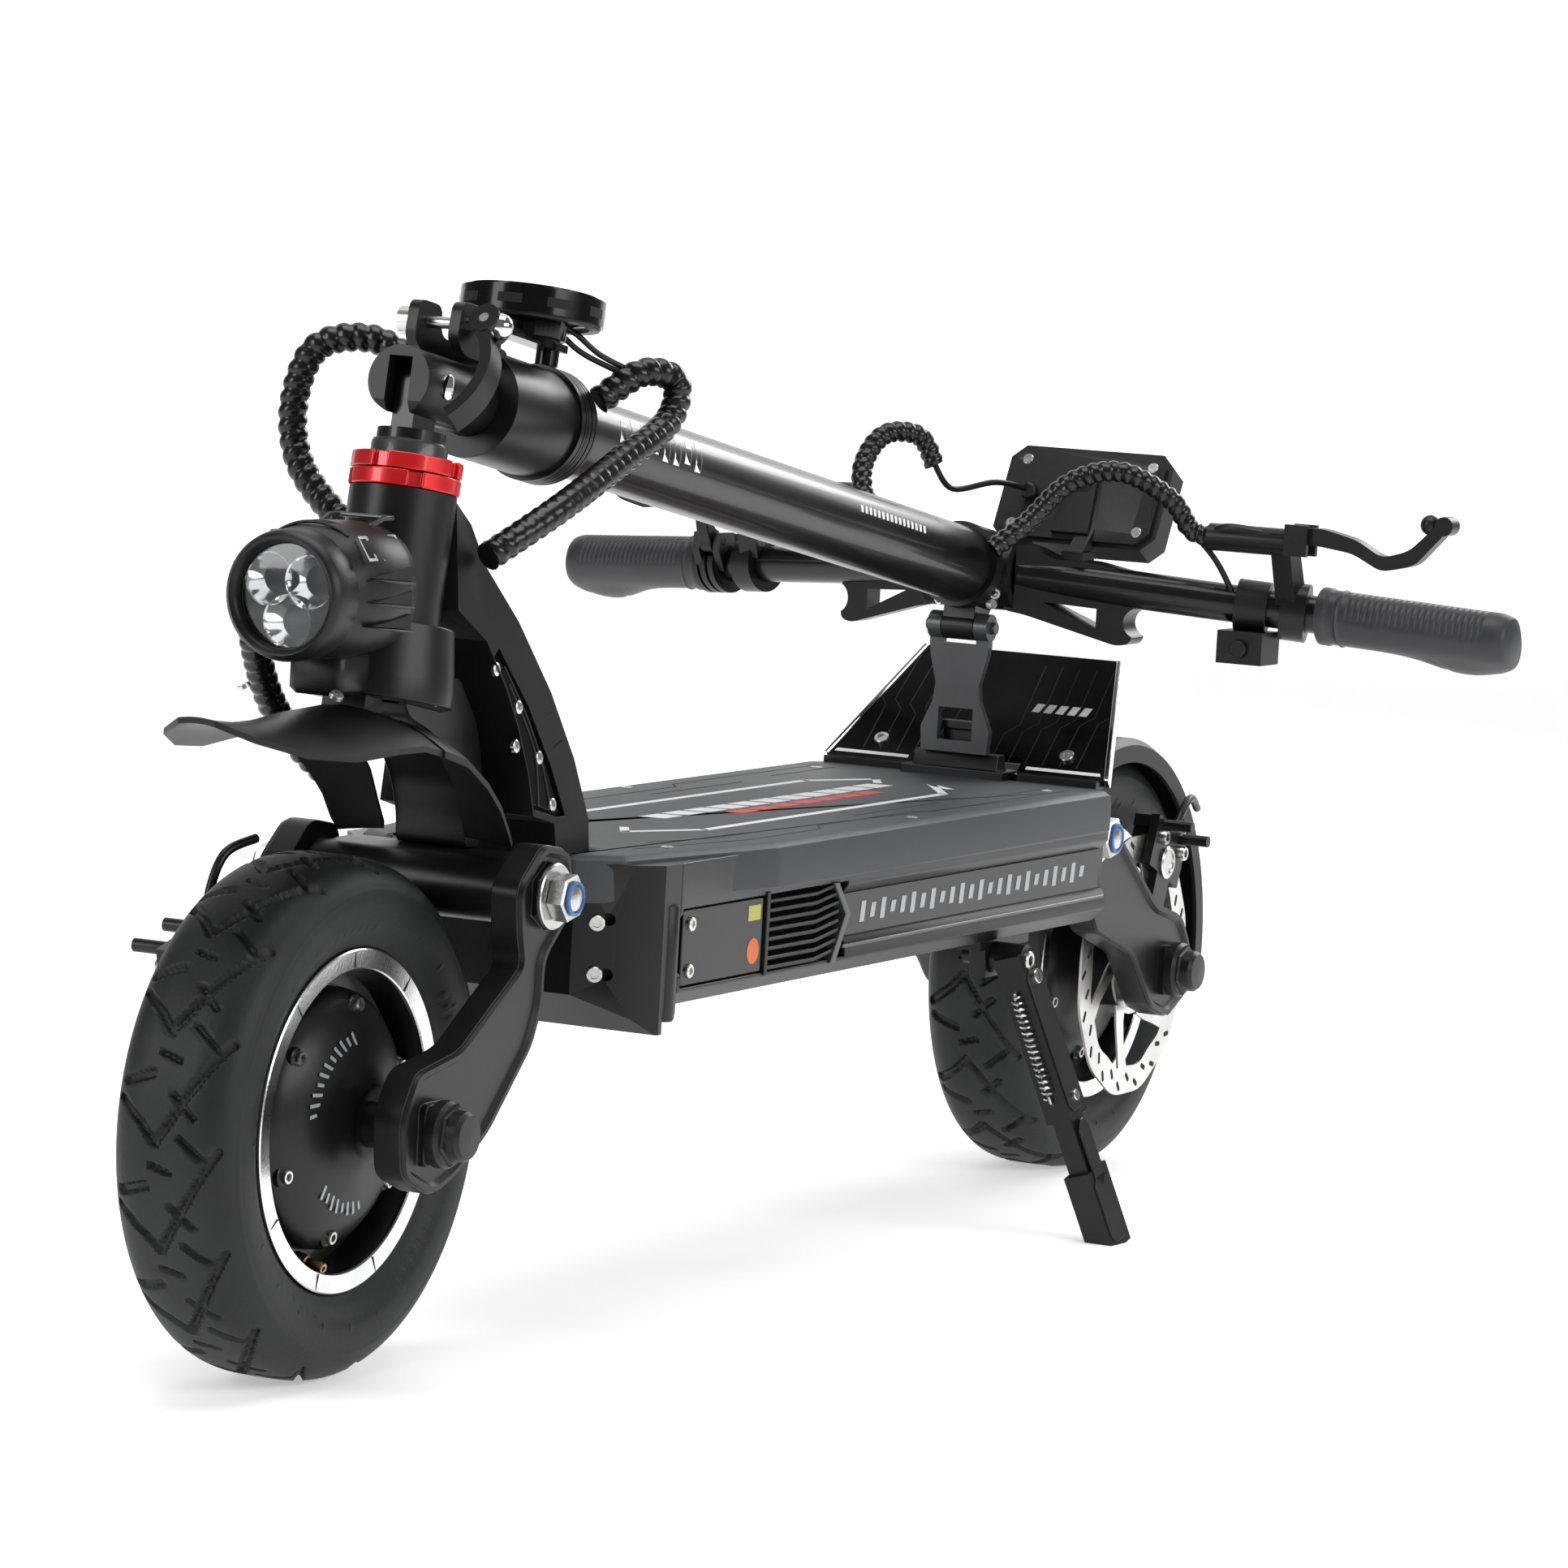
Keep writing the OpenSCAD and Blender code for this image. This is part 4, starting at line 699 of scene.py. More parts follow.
    def rim(self) -> None:
        """Build the rim barrel and its turned lips with their index marks."""
        place = across(self.axle)
        barrel = [(83.9, 24), (82.5, 25.5), (75, 24.5), (73, 18), (71.5, 9), (64.6, 8),
                  (64.6, -8), (71.5, -9), (73, -18), (75, -24.5), (82.5, -25.5), (83.9, -24)]
        piece(f"{self.name}_rim_barrel", Shape().lathe(place, barrel, 120, closed=True), GLOSS, self.body,
              [f"{self.name}_rim"])
        lips = Shape()
        marks = Shape()
        for side in (1, -1):
            at = across(self.axle, side)
            lips.lathe(at, [(83.9, 24.2), (83.9, 26.9), (83.2, 27.4), (74.6, 26.9), (74, 26.2), (74.4, 24)],
                       180, closed=True)
            for k in range(9):
                a = math.radians(40 * k + 12)
                spot = at @ Matrix.Rotation(a, 4, "Z") @ Matrix.Translation((79, 0, 27.3))
                marks.block(spot, (8.2, 0.5, 0.4), 0.08)
        piece(f"{self.name}_rim_lips", lips, TURNED, self.body)
        piece(f"{self.name}_rim_marks", marks, SHADE_AND_MARK_BLACK, self.body)
        valve_at = across(self.axle, -self.rotor_side) @ Matrix.Rotation(math.radians(-100), 4, "Z")
        valve = Shape().lathe(valve_at @ Matrix.Translation((68, 0, 8)) @ Matrix.Rotation(0.25, 4, "Y"),
                              [(3.2, 0), (3.2, 6), (2.4, 6.5), (2.4, 9), (3.1, 9.4), (3.1, 15), (2.6, 16),
                               (1.4, 16), (1.2, 14)], 20)
        piece(f"{self.name}_valve", valve, BRASS, self.body)

    def motor(self) -> None:
        """Build the hub motor with its domed covers, screws and printed bars."""
        near = across(self.axle, -self.rotor_side)
        far = across(self.axle, self.rotor_side)
        dome = [(11.2, 39), (17, 39.6), (19, 38.8), (23, 35.5), (30, 33.6), (41, 30.4), (50, 26.8),
                (57, 22.6),
                (61.5, 18.6), (63.4, 15), (63.9, 10), (63.9, -10), (62, -16), (56, -21), (50, -23.4),
                (34, -27), (27, -31), (26, -36), (26, -48.5), (11.2, -48.5)]
        piece(f"{self.name}_motor_shell", Shape().lathe(near, dome, 128, closed=True), SATIN, self.body,
              [f"{self.name}_motor"])
        bolts, pads = Shape(), Shape()
        for at, z in ((near, 22.5), (far, 20.6)):
            for k in range(6):
                turn = at @ Matrix.Rotation(math.radians(60 * k + 22), 4, "Z")
                axis = (turn.to_3x3() @ Vector((0.12, 0, 1))).normalized()
                bolts.bolt(turn @ Vector((56.2, 0, z - 1.5)), axis, 3.5, 4.6, roll=17 * k)
                pads.lathe(turn @ Matrix.Translation((56.2, 0, z - 3)),
                           [(5.6, 0), (5.4, 2.2), (4.6, 2.8), (0, 2.8)],
                           24)
        piece(f"{self.name}_cover_bolts", bolts, STEEL, self.body)
        piece(f"{self.name}_cover_pads", pads, SATIN, self.body)
        if self.name != "front":
            return
        bars = Shape()
        for start, count in ((98, 11), (228, 8)):
            for k in range(count):
                a = math.radians(start + k * 7.2)
                tilt = Matrix.Rotation(0.16, 4, "Y")
                spot = near @ Matrix.Rotation(a, 4, "Z") @ Matrix.Translation((41.5, 0, 30.4)) @ tilt
                length = (7.5, 5.0, 7.5)[k % 3]
                bars.block(spot @ Matrix.Rotation(0.35, 4, "Z"), (length, 1.7, 0.5), 0.12)
        piece(f"{self.name}_cover_bars", bars, SILVER_PRINT, self.body)

    def rotor(self) -> None:
        """Build the wave-edged brake rotor with swept spokes and its bolts."""
        at = across(self.axle + Vector((0, self.rotor_side * 50, 0)))
        n = 360
        outer = [((80 - 1.3 * (0.5 + 0.5 * math.cos(12 * a))) * math.cos(a),
                  (80 - 1.3 * (0.5 + 0.5 * math.cos(12 * a))) * math.sin(a))
                 for a in (2 * math.pi * k / n for k in range(n))]
        inner = [((64 - 2.0 * (0.5 + 0.5 * math.cos(12 * a))) * math.cos(a),
                  (64 - 2.0 * (0.5 + 0.5 * math.cos(12 * a))) * math.sin(a))
                 for a in (2 * math.pi * k / n for k in range(n))]
        shape = Shape()
        rings = [(outer, 0.75), (outer, -0.75), (inner, -0.75), (inner, 0.75)]
        shape.loft([[at @ Vector((p[0], p[1], z)) for p in ring] for ring, z in rings], cyclic=True)
        shape.lathe(at, [(16.5, -0.75), (16.5, 0.75), (30, 0.75), (30, -0.75)], 96, closed=True)
        for k in range(6):
            turn = at @ Matrix.Rotation(math.radians(60 * k), 4, "Z")
            spine = [(27, -3), (38, 4), (50, 15), (62, 29)]
            wide = [8.5, 6.5, 5.5, 8.5]
            left = [(x - 0.5 * w, y + 0.6 * w) for (x, y), w in zip(spine, wide)]
            right = [(x + 0.5 * w, y - 0.6 * w) for (x, y), w in zip(spine, wide)]
            shape.prism(turn, left + right[::-1], -0.74, 0.74, 0.1)
        piece(f"{self.name}_wave_rotor", shape, DISC, self.body, [f"{self.name}_rotor"])
        slots, bolts = Shape(), Shape()
        # The slots are not cut through the rotor: black slabs fill them as painted shade.
        for k in range(36):
            turn = at @ Matrix.Rotation(math.radians(10 * k), 4, "Z")
            r = 69 if k % 2 else 74.5
            spot = turn @ Matrix.Translation((r, 0, 0)) @ Matrix.Rotation(0.8, 4, "Z")
            outline = rounded([(-3.6, -1.5), (3.6, -1.5), (3.6, 1.5), (-3.6, 1.5)], 1.4, 3)
            slots.prism(spot, outline, -0.82, 0.82, 0.05)
        for k in range(6):
            turn = Matrix.Rotation(math.radians(60 * k + 10), 4, "Z")
            side = across(self.axle + Vector((0, self.rotor_side * 50.7, 0)), self.rotor_side)
            bolts.bolt(side @ turn @ Vector((22.5, 0, 0)), (0, self.rotor_side, 0), 4.2, 3.4)
        piece(f"{self.name}_rotor_slot_shade", slots, SHADE_AND_MARK_BLACK, self.body)
        piece(f"{self.name}_rotor_bolts", bolts, STEEL, self.body)

    def build(self) -> None:
        """Build every piece of the wheel."""
        self.tyre()
        self.rim()
        self.motor()
        self.rotor()


# ---------------------------------------------------------------- stage


@dataclass(frozen=True)
class Sheet:
    """One pale sheet of the stage, such as the floor."""

    name: str
    cells: int
    tone: float
    roughness: float
    glow: float

    def spread(self, corner: Vector, first: Vector, second: Vector) -> None:
        """Lay the sheet out.

        Args:
            corner: where it starts.
            first: its whole first side.
            second: its whole second side.
        """
        n = self.cells
        rows = range(n)
        verts = [corner + first * (i / n) + second * (j / n) for i in range(n + 1) for j in range(n + 1)]
        faces = [(i * (n + 1) + j, (i + 1) * (n + 1) + j, (i + 1) * (n + 1) + j + 1, i * (n + 1) + j + 1)
                 for i in rows for j in rows]
        mesh = bpy.data.meshes.new(self.name)
        mesh.from_pydata([tuple(v) for v in verts], [], faces)
        mat = bpy.data.materials.new(f"pale {self.name}")
        mat.use_nodes = True
        shader = mat.node_tree.nodes["Principled BSDF"]
        shader.inputs["Base Color"].default_value = (self.tone, self.tone, self.tone, 1)
        shader.inputs["Roughness"].default_value = self.roughness
        shader.inputs["Emission Color"].default_value = (1, 1, 1, 1)
        shader.inputs["Emission Strength"].default_value = self.glow
        mesh.materials.append(mat)
        obj = bpy.data.objects.new(self.name, mesh)
        bpy.context.scene.collection.objects.link(obj)


@dataclass
class Stage:
    """Pale floor, soft lights and the camera."""

    camera_at: tuple[float, float, float] = (3.0723, 1.5422, 0.5958)
    yaw: float = 3.5999
    pitch: float = -0.0971
    roll: float = 0.0558
    lens: float = 145.64
    shift: tuple[float, float] = (0.00247, 0.00124)
    floor_half: float = 9.0
    backdrop_away: float = 7.5
    backdrop_size: tuple[float, float] = (7.0, 14.0)

    def floor(self) -> None:
        """Lay a wide pale floor."""
        size = self.floor_half
        sheet = Sheet("floor", cells=12, tone=0.93, roughness=0.7, glow=0.42)
        sheet.spread(Vector((-size, -size, 0)), Vector((2 * size, 0, 0)), Vector((0, 2 * size, 0)))

    def backdrop(self) -> None:
        """Stand a pale glowing sheet far behind the scooter."""
        away = Vector((math.cos(self.yaw), math.sin(self.yaw), 0))
        side = Vector((away.y, -away.x, 0))
        half, height = self.backdrop_size
        corner = away * self.backdrop_away - side * half + Vector((0, 0, -0.4))
        sheet = Sheet("backdrop", cells=6, tone=0.9, roughness=0.5, glow=0.75)
        sheet.spread(corner, side * 2 * half, Vector((0, 0, height)))

    def area(self, name: str, at: Point, aim: Point, size: tuple[float, float], power: float) -> None:
        """Hang one soft light."""
        data = bpy.data.lights.new(name, "AREA")
        data.shape = "RECTANGLE"
        data.size, data.size_y = size
        data.energy = power
        obj = bpy.data.objects.new(name, data)
        obj.location = at
        obj.rotation_euler = (Vector(aim) - Vector(at)).to_track_quat("-Z", "Y").to_euler()
        bpy.context.scene.collection.objects.link(obj)

    def lights(self) -> None:
        """Hang the lights and set the surroundings."""
        self.area("top_light", (0.2, 0.1, 2.6), (0, 0, 0.2), (2.2, 1.6), 42)
        self.area("front_light", (2.6, -1.4, 1.3), (0.2, 0, 0.3), (0.9, 1.6), 30)
        self.area("left_light", (0.4, 2.8, 1.4), (0, 0, 0.3), (2.4, 1.0), 42)
        self.area("rear_light", (-2.6, 0.6, 1.7), (0, 0, 0.3), (1.6, 1.0), 30)
        world = bpy.data.worlds.new("studio")
        world.use_nodes = True
        world.node_tree.nodes["Background"].inputs["Color"].default_value = (1, 1, 1, 1)
        world.node_tree.nodes["Background"].inputs["Strength"].default_value = 0.16
        bpy.context.scene.world = world

    def camera(self) -> None:
        """Place the camera."""
        data = bpy.data.cameras.new("camera")
        data.sensor_width = 36
        data.lens = self.lens
        data.shift_x, data.shift_y = self.shift
        data.clip_end = 50
        look = Vector((math.cos(self.pitch) * math.cos(self.yaw), math.cos(self.pitch) * math.sin(self.yaw),
                       math.sin(self.pitch)))
        right = look.cross(Vector((0, 0, 1))).normalized()
        up = right.cross(look)
        r = right * math.cos(self.roll) + up * math.sin(self.roll)
        u = -right * math.sin(self.roll) + up * math.cos(self.roll)
        basis = Matrix((r, u, -look)).transposed().to_4x4()
        obj = bpy.data.objects.new("camera", data)
        obj.matrix_world = Matrix.Translation(Vector(self.camera_at)) @ basis
        bpy.context.scene.collection.objects.link(obj)
        bpy.context.scene.camera = obj

    def build(self) -> None:
        """Set the whole stage."""
        self.camera()
        self.floor()
        self.backdrop()
        self.lights()
        bpy.context.scene.view_settings.view_transform = "Standard"


# ---------------------------------------------------------------- looms and hoses


@dataclass
class Looms:
    """Spiral-wrapped looms and the thin hoses and wires beside them."""

    wrap_pitch: float = 7.2
    loom_r: float = 7.6
    bar_loom_r: float = 6.2
    sides: int = 16
    right_neck: tuple[Point, ...] = ((314, -28, 483), (324, -52, 499), (336, -78, 494), (340, -88, 466),
                                     (342, -82, 436), (346, -58, 412), (352, -34.2, 398))
    left_neck: tuple[Point, ...] = ((230, 25.5, 473), (212, 40, 488), (194, 50, 484), (204, 52, 464),
                                    (250, 50, 444), (306, 48, 422), (352, 33.9, 398))
    fork_side: tuple[Point, ...] = ((440, -43, 373), (424, -55, 360), (408, -61, 342), (390, -63, 320),
                                    (366, -61, 298), (346, -52, 280), (336, -44, 268))
    hand: tuple[Point, ...] = ((-258, 27.3, 383.5), (-272, 42, 400), (-284, 62, 424), (-292, 90, 432),
                               (-306, 116, 418), (-315, 126, 401), (-316, 136.9, 397.8))
    display: tuple[Point, ...] = ((-196, -23.5, 397), (-206, -34, 426), (-224, -30, 446), (-242, -16, 446),
                                  (-248, -8, 430))
    wires: tuple[tuple[str, tuple[Point, ...], float], ...] = (
        ("display_wire", ((-248, -8, 430), (-266, -4, 416), (-300, 8, 420), (-327.5, 18, 415.7)), 1.8),
        ("switch_wire", ((-312, 118, 408), (-318, 140, 386), (-326, 152, 362), (-329, 160, 345)), 1.8),
        ("horn_wire_a", ((248, 8, 512), (240, 16, 506), (228, 24, 496), (214, 36, 488)), 1.6),
        ("horn_wire_b", ((246, 4, 511), (234, 14, 498), (222, 26, 490), (210, 38, 484)), 1.6),
    )

    def wrapped(self, name: str, route: Sequence[Point], r: float, replaces: Iterable[str] = (),
                body: str | None = "stem") -> bpy.types.Object:
        """Build one loom with its spiral wrap.

        Args:
            name: the piece's name.
            route: points it passes.
            r: outer radius.
            replaces: frame nodes it stands for.
            body: body it rides on.

        Returns:
            The loom.
        """
        coarse = smooth(route, 24)
        path = [coarse[0]]
        for p in coarse[1:]:
            if (p - path[-1]).length >= 0.75:
                path.append(p)
        pitch = self.wrap_pitch * r / self.loom_r

        def radius(run: float, a: float) -> float:
            """Outer radius of the wrap at one place."""
            swell = abs(math.cos(math.pi * run / pitch - a / 2))
            return r * (0.7 + 0.3 * swell ** 0.45)

        loom = piece(name, Shape().sweep(path, radius, self.sides), GLOSS, body, replaces, sharp=60)
        self.declare(loom, path, r)
        return loom

    @staticmethod
    def declare(loom: bpy.types.Object, path: Sequence[Vector], r: float) -> None:
        """Do nothing with the loom; no cord is declared."""

    def plain(self, name: str, route: Sequence[Point], r: float, body: str) -> bpy.types.Object:
        """Build one smooth hose or wire."""
        return piece(name, Shape().sweep(smooth(route, 8), r, 10), SATIN, body, sharp=60)

    def build(self) -> None:
        """Build every loom and hose."""
        for name, route, node in (("right_neck_loom", self.right_neck, ["neck_looms"]),
                                  ("left_neck_loom", self.left_neck, [])):
            loom = self.wrapped(name, route[::-1], self.loom_r, node, None)
            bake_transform(loom)
        self.wrapped("fork_side_loom", self.fork_side, self.loom_r, ["fork_loom"], "fork")
        self.wrapped("hand_loom", self.hand, self.bar_loom_r, ["bar_looms"])
        self.wrapped("display_loom", self.display, self.bar_loom_r)
        for name, route, r in self.wires:
            self.plain(name, route, r, "stem")
        hose = [bar_at(-116) + Vector((22, 0, 40)), Vector((-290, -96, 410)), Vector((-262, -60, 412)),
                Vector((-230, -30, 402))]
        self.plain("right_brake_hose", hose, 2.4, "stem")
        sleeve = Shape()
        for at, way in (((-316, 137.5, 397.8), (0, 1, 0)), ((-327.9, 18, 415.6), (-1, 0, 0))):
            sleeve.lathe(pointing(at, way), [(4, -6), (5, -5), (5, -1), (4.4, 0), (0, 0)], 20)
        piece("loom_sleeves", sleeve, MOULDED, "stem")


# ---------------------------------------------------------------- deck


@dataclass
class Deck:
    """Deck body with its mat, side panels, fins, screws and printed marks."""

    top: float = 248.0
    mat_bottom: float = 224.0
    half: float = 93.0
    rear: float = -300.0
    fin_count: int = 8
    marks: tuple[float, ...] = (1.0, 0.7, 1.0, 0.55, 0.8)

    def mat(self) -> None:
        """Build the mat with its rolled rim, grooves drawn as dark lines of painted shade, screws and printed
        outline.
        """
        half = [(self.rear, 84), (self.rear + 14, 98.5), (143, 98.5), (270, 77), (288.5, 55), (288.5, 48),
                (252.5, 48)]
        outline = rounded(mirrored(half), 2.5, 3)
        rings = []
        for d, z in ((1.2, self.mat_bottom), (0, self.mat_bottom + 1.5), (0.3, self.top - 7),
                     (1.6, self.top - 2.6), (4.2, self.top - 0.5), (7.0, self.top)):
            rings.append([Vector((p[0], p[1], z)) for p in inset(outline, d - 1.3)])
        piece("deck_mat_skin", Shape().loft(rings), SILICONE, "chassis", ["deck_mat"])
        flat = Matrix.Translation((0, 0, self.top))
        grooves, prints, accent, screws = Shape(), Shape(), Shape(), Shape()
        lines = [[(236, 62), (140, 81), (60, 81), (46, 73), (-70, 73), (-82, 81), (-268, 81)],
                 [(200, 52), (150, 66), (96, 66)], [(-20, 62), (-130, 62)], [(-180, 68), (-262, 68)]]
        # The grooves are dark strokes standing proud of the mat: painted shade in place of cut grooves.
        for line in lines:
            for side in (1, -1):
                pts = [(x, side * y) for x, y in line]
                self.stroke(grooves, flat, pts, 1.1, 0.12)
        for side in (1, -1):
            hook = [(148, 10), (166, 20), (120, 43), (-176, 43), (-218, 16), (-206, 32)]
            self.stroke(prints, flat, [(x if side > 0 else -52 - x, side * y) for x, y in hook], 5.0, 0.15)
        for k in range(11):
            x = 92 - 26 * k
            slant = [(x, -11), (x - 21, -11), (x - 25, 3), (x - 4, 3)]
            prints.prism(flat, slant, -0.2, 0.15, 0.05)
        for k in range(7):
            x = 28 - 26 * k
            slant = [(x, 7), (x - 22, 7), (x - 25, 17), (x - 3, 17)]
            accent.prism(flat, slant, -0.2, 0.15, 0.05)
        for x, y in ((214, 70), (-40, 88), (-250, 74)):
            for side in (1, -1):
                screws.lathe(Matrix.Translation((x, side * y, self.top - 0.4)),
                             [(3.4, 0), (3.4, 0.7), (2.6, 1.0), (1.6, 1.0), (1.2, 0.4), (0, 0.4)], 20)
        piece("mat_groove_shade", grooves, SILICONE_GROOVE_SHADE, "chassis")
        piece("mat_print", prints, WHITE, "chassis")
        piece("mat_print_red", accent, RED_PRINT, "chassis")
        piece("mat_screws", screws, STEEL, "chassis")

    @staticmethod
    def stroke(shape: Shape, at: Matrix, points: Sequence[Point], width: float, height: float) -> None:
        """Add a thin printed line.

        Args:
            shape: the shape it is added to.
            at: frame of the line.
            points: its corners.
            width: its width.
            height: how proud it stands.
        """
        for (x0, y0), (x1, y1) in zip(points, points[1:]):
            d = Vector((x1 - x0, y1 - y0)).normalized()
            n = Vector((-d.y, d.x)) * width / 2
            e = d * width * 0.35
            quad = [(x0 - e.x + n.x, y0 - e.y + n.y), (x0 - e.x - n.x, y0 - e.y - n.y),
                    (x1 + e.x - n.x, y1 + e.y - n.y), (x1 + e.x + n.x, y1 + e.y + n.y)]
            shape.prism(at, quad, -0.2, height, 0.04)

    def sides(self) -> None:
        """Build the fins, windows, strips and screws of both sides."""
        fins, edges, glass, strip, screws, marks = (Shape() for _ in range(6))
        for k in range(self.fin_count):
            z = 181 + 5.0 * k
            fin = [(141, z), (84, z - 0.4), (57, z + 3.2), (57, z + 5.0), (84, z + 1.6), (141, z + 1.8)]
            fins.prism(SIDE, [(x, v) for x, v in fin], -93.6, -87, 0.3)
        chevron = [(66, 221), (60, 221), (44, 203), (60, 178), (66, 178), (50, 203)]
        edges.prism(SIDE, chevron, -94.6, -88, 0.5)
        fins.prism(SIDE, [(143, 178), (139.5, 178), (139.5, 222), (143, 222)], -93.8, -87, 0.4)
        glass.prism(SIDE, rounded([(145, 180.5), (235.5, 180.5), (235.5, 219.5), (145, 219.5)], 2),
                    -92.3, -86, 0.5)
        strip.prism(SIDE, [(43, 190.5), (-292, 190.5), (-292, 213.5), (58, 213.5), (47, 203)],
                    -90.9, -86, 0.3)
        edges.prism(SIDE, [(50, 184.6), (-296, 184.6), (-296, 186.4), (50, 186.4)],
                    -93.7, -90, 0.3)
        for x, z in ((227, 188), (227, 212)):
            screws.bolt((x, 91.8, z), (0, 1, 0), 3.6, 2.2, roll=14)
        for k in range(24):
            x = 26 - 12.6 * k
            tall = 5.6 * self.marks[k % len(self.marks)]
            slant = [(x, 202 - tall), (x - 5.4, 202 - tall), (x - 7.2, 202 + tall), (x - 1.8, 202 + tall)]
            marks.prism(SIDE, slant, -91.15, -90.5, 0.05)
        mirrored_shapes = [("side_fins", fins, MOULDED, "black_plastic", ["side_vents"]),
                           ("fin_edges", edges, STRAP_GREY, "satin_black", ()),
                           ("window_panes", glass, PANEL, "gloss_panel", ["side_windows"]),
                           ("side_strips", strip, PANEL, "gloss_panel", ()),
                           ("window_screws", screws, STEEL, "steel", ()),
                           ("strip_marks", marks, SILVER_PRINT, "steel", ())]
        for name, shape, finish, slot, nodes in mirrored_shapes:
            piece(name, shape.mirror_y(), finish, "chassis", nodes)
        yellow, orange = Shape(), Shape()
        face = across((0, 92.3, 0), -1)
        yellow.prism(face, [(162, 208), (148, 208), (148, 216), (162, 216), (162, 213)], -0.25, 0.1, 0.04)
        orange.prism(face, arc(155, 192, 6.8, 0, 345, 22), -0.25, 0.1, 0.04)
        piece("seal_yellow", yellow, YELLOW, "chassis")
        piece("seal_orange", orange, ORANGE, "chassis")

    def nose(self) -> None:
        """Add the screws and corner columns of the nose."""
        screws, columns = Shape(), Shape()
        for z in (188, 214):
            screws.bolt((278.4, 66, z), (0.9, 0.43, 0), 4.0, 2.0, roll=21)
        columns.lathe(Matrix.Translation((247, 88, 0)), [(6.3, 164), (7.2, 165.5), (7.2, 222), (6.3, 223.5)],
                      36)
        piece("nose_screws", screws.mirror_y(), STEEL, "chassis")
        piece("nose_columns", columns.mirror_y(), CAST, "chassis")

    def build(self) -> None:
        """Build every piece of the deck."""
        self.mat()
        self.sides()
        self.nose()


# ---------------------------------------------------------------- swing arms


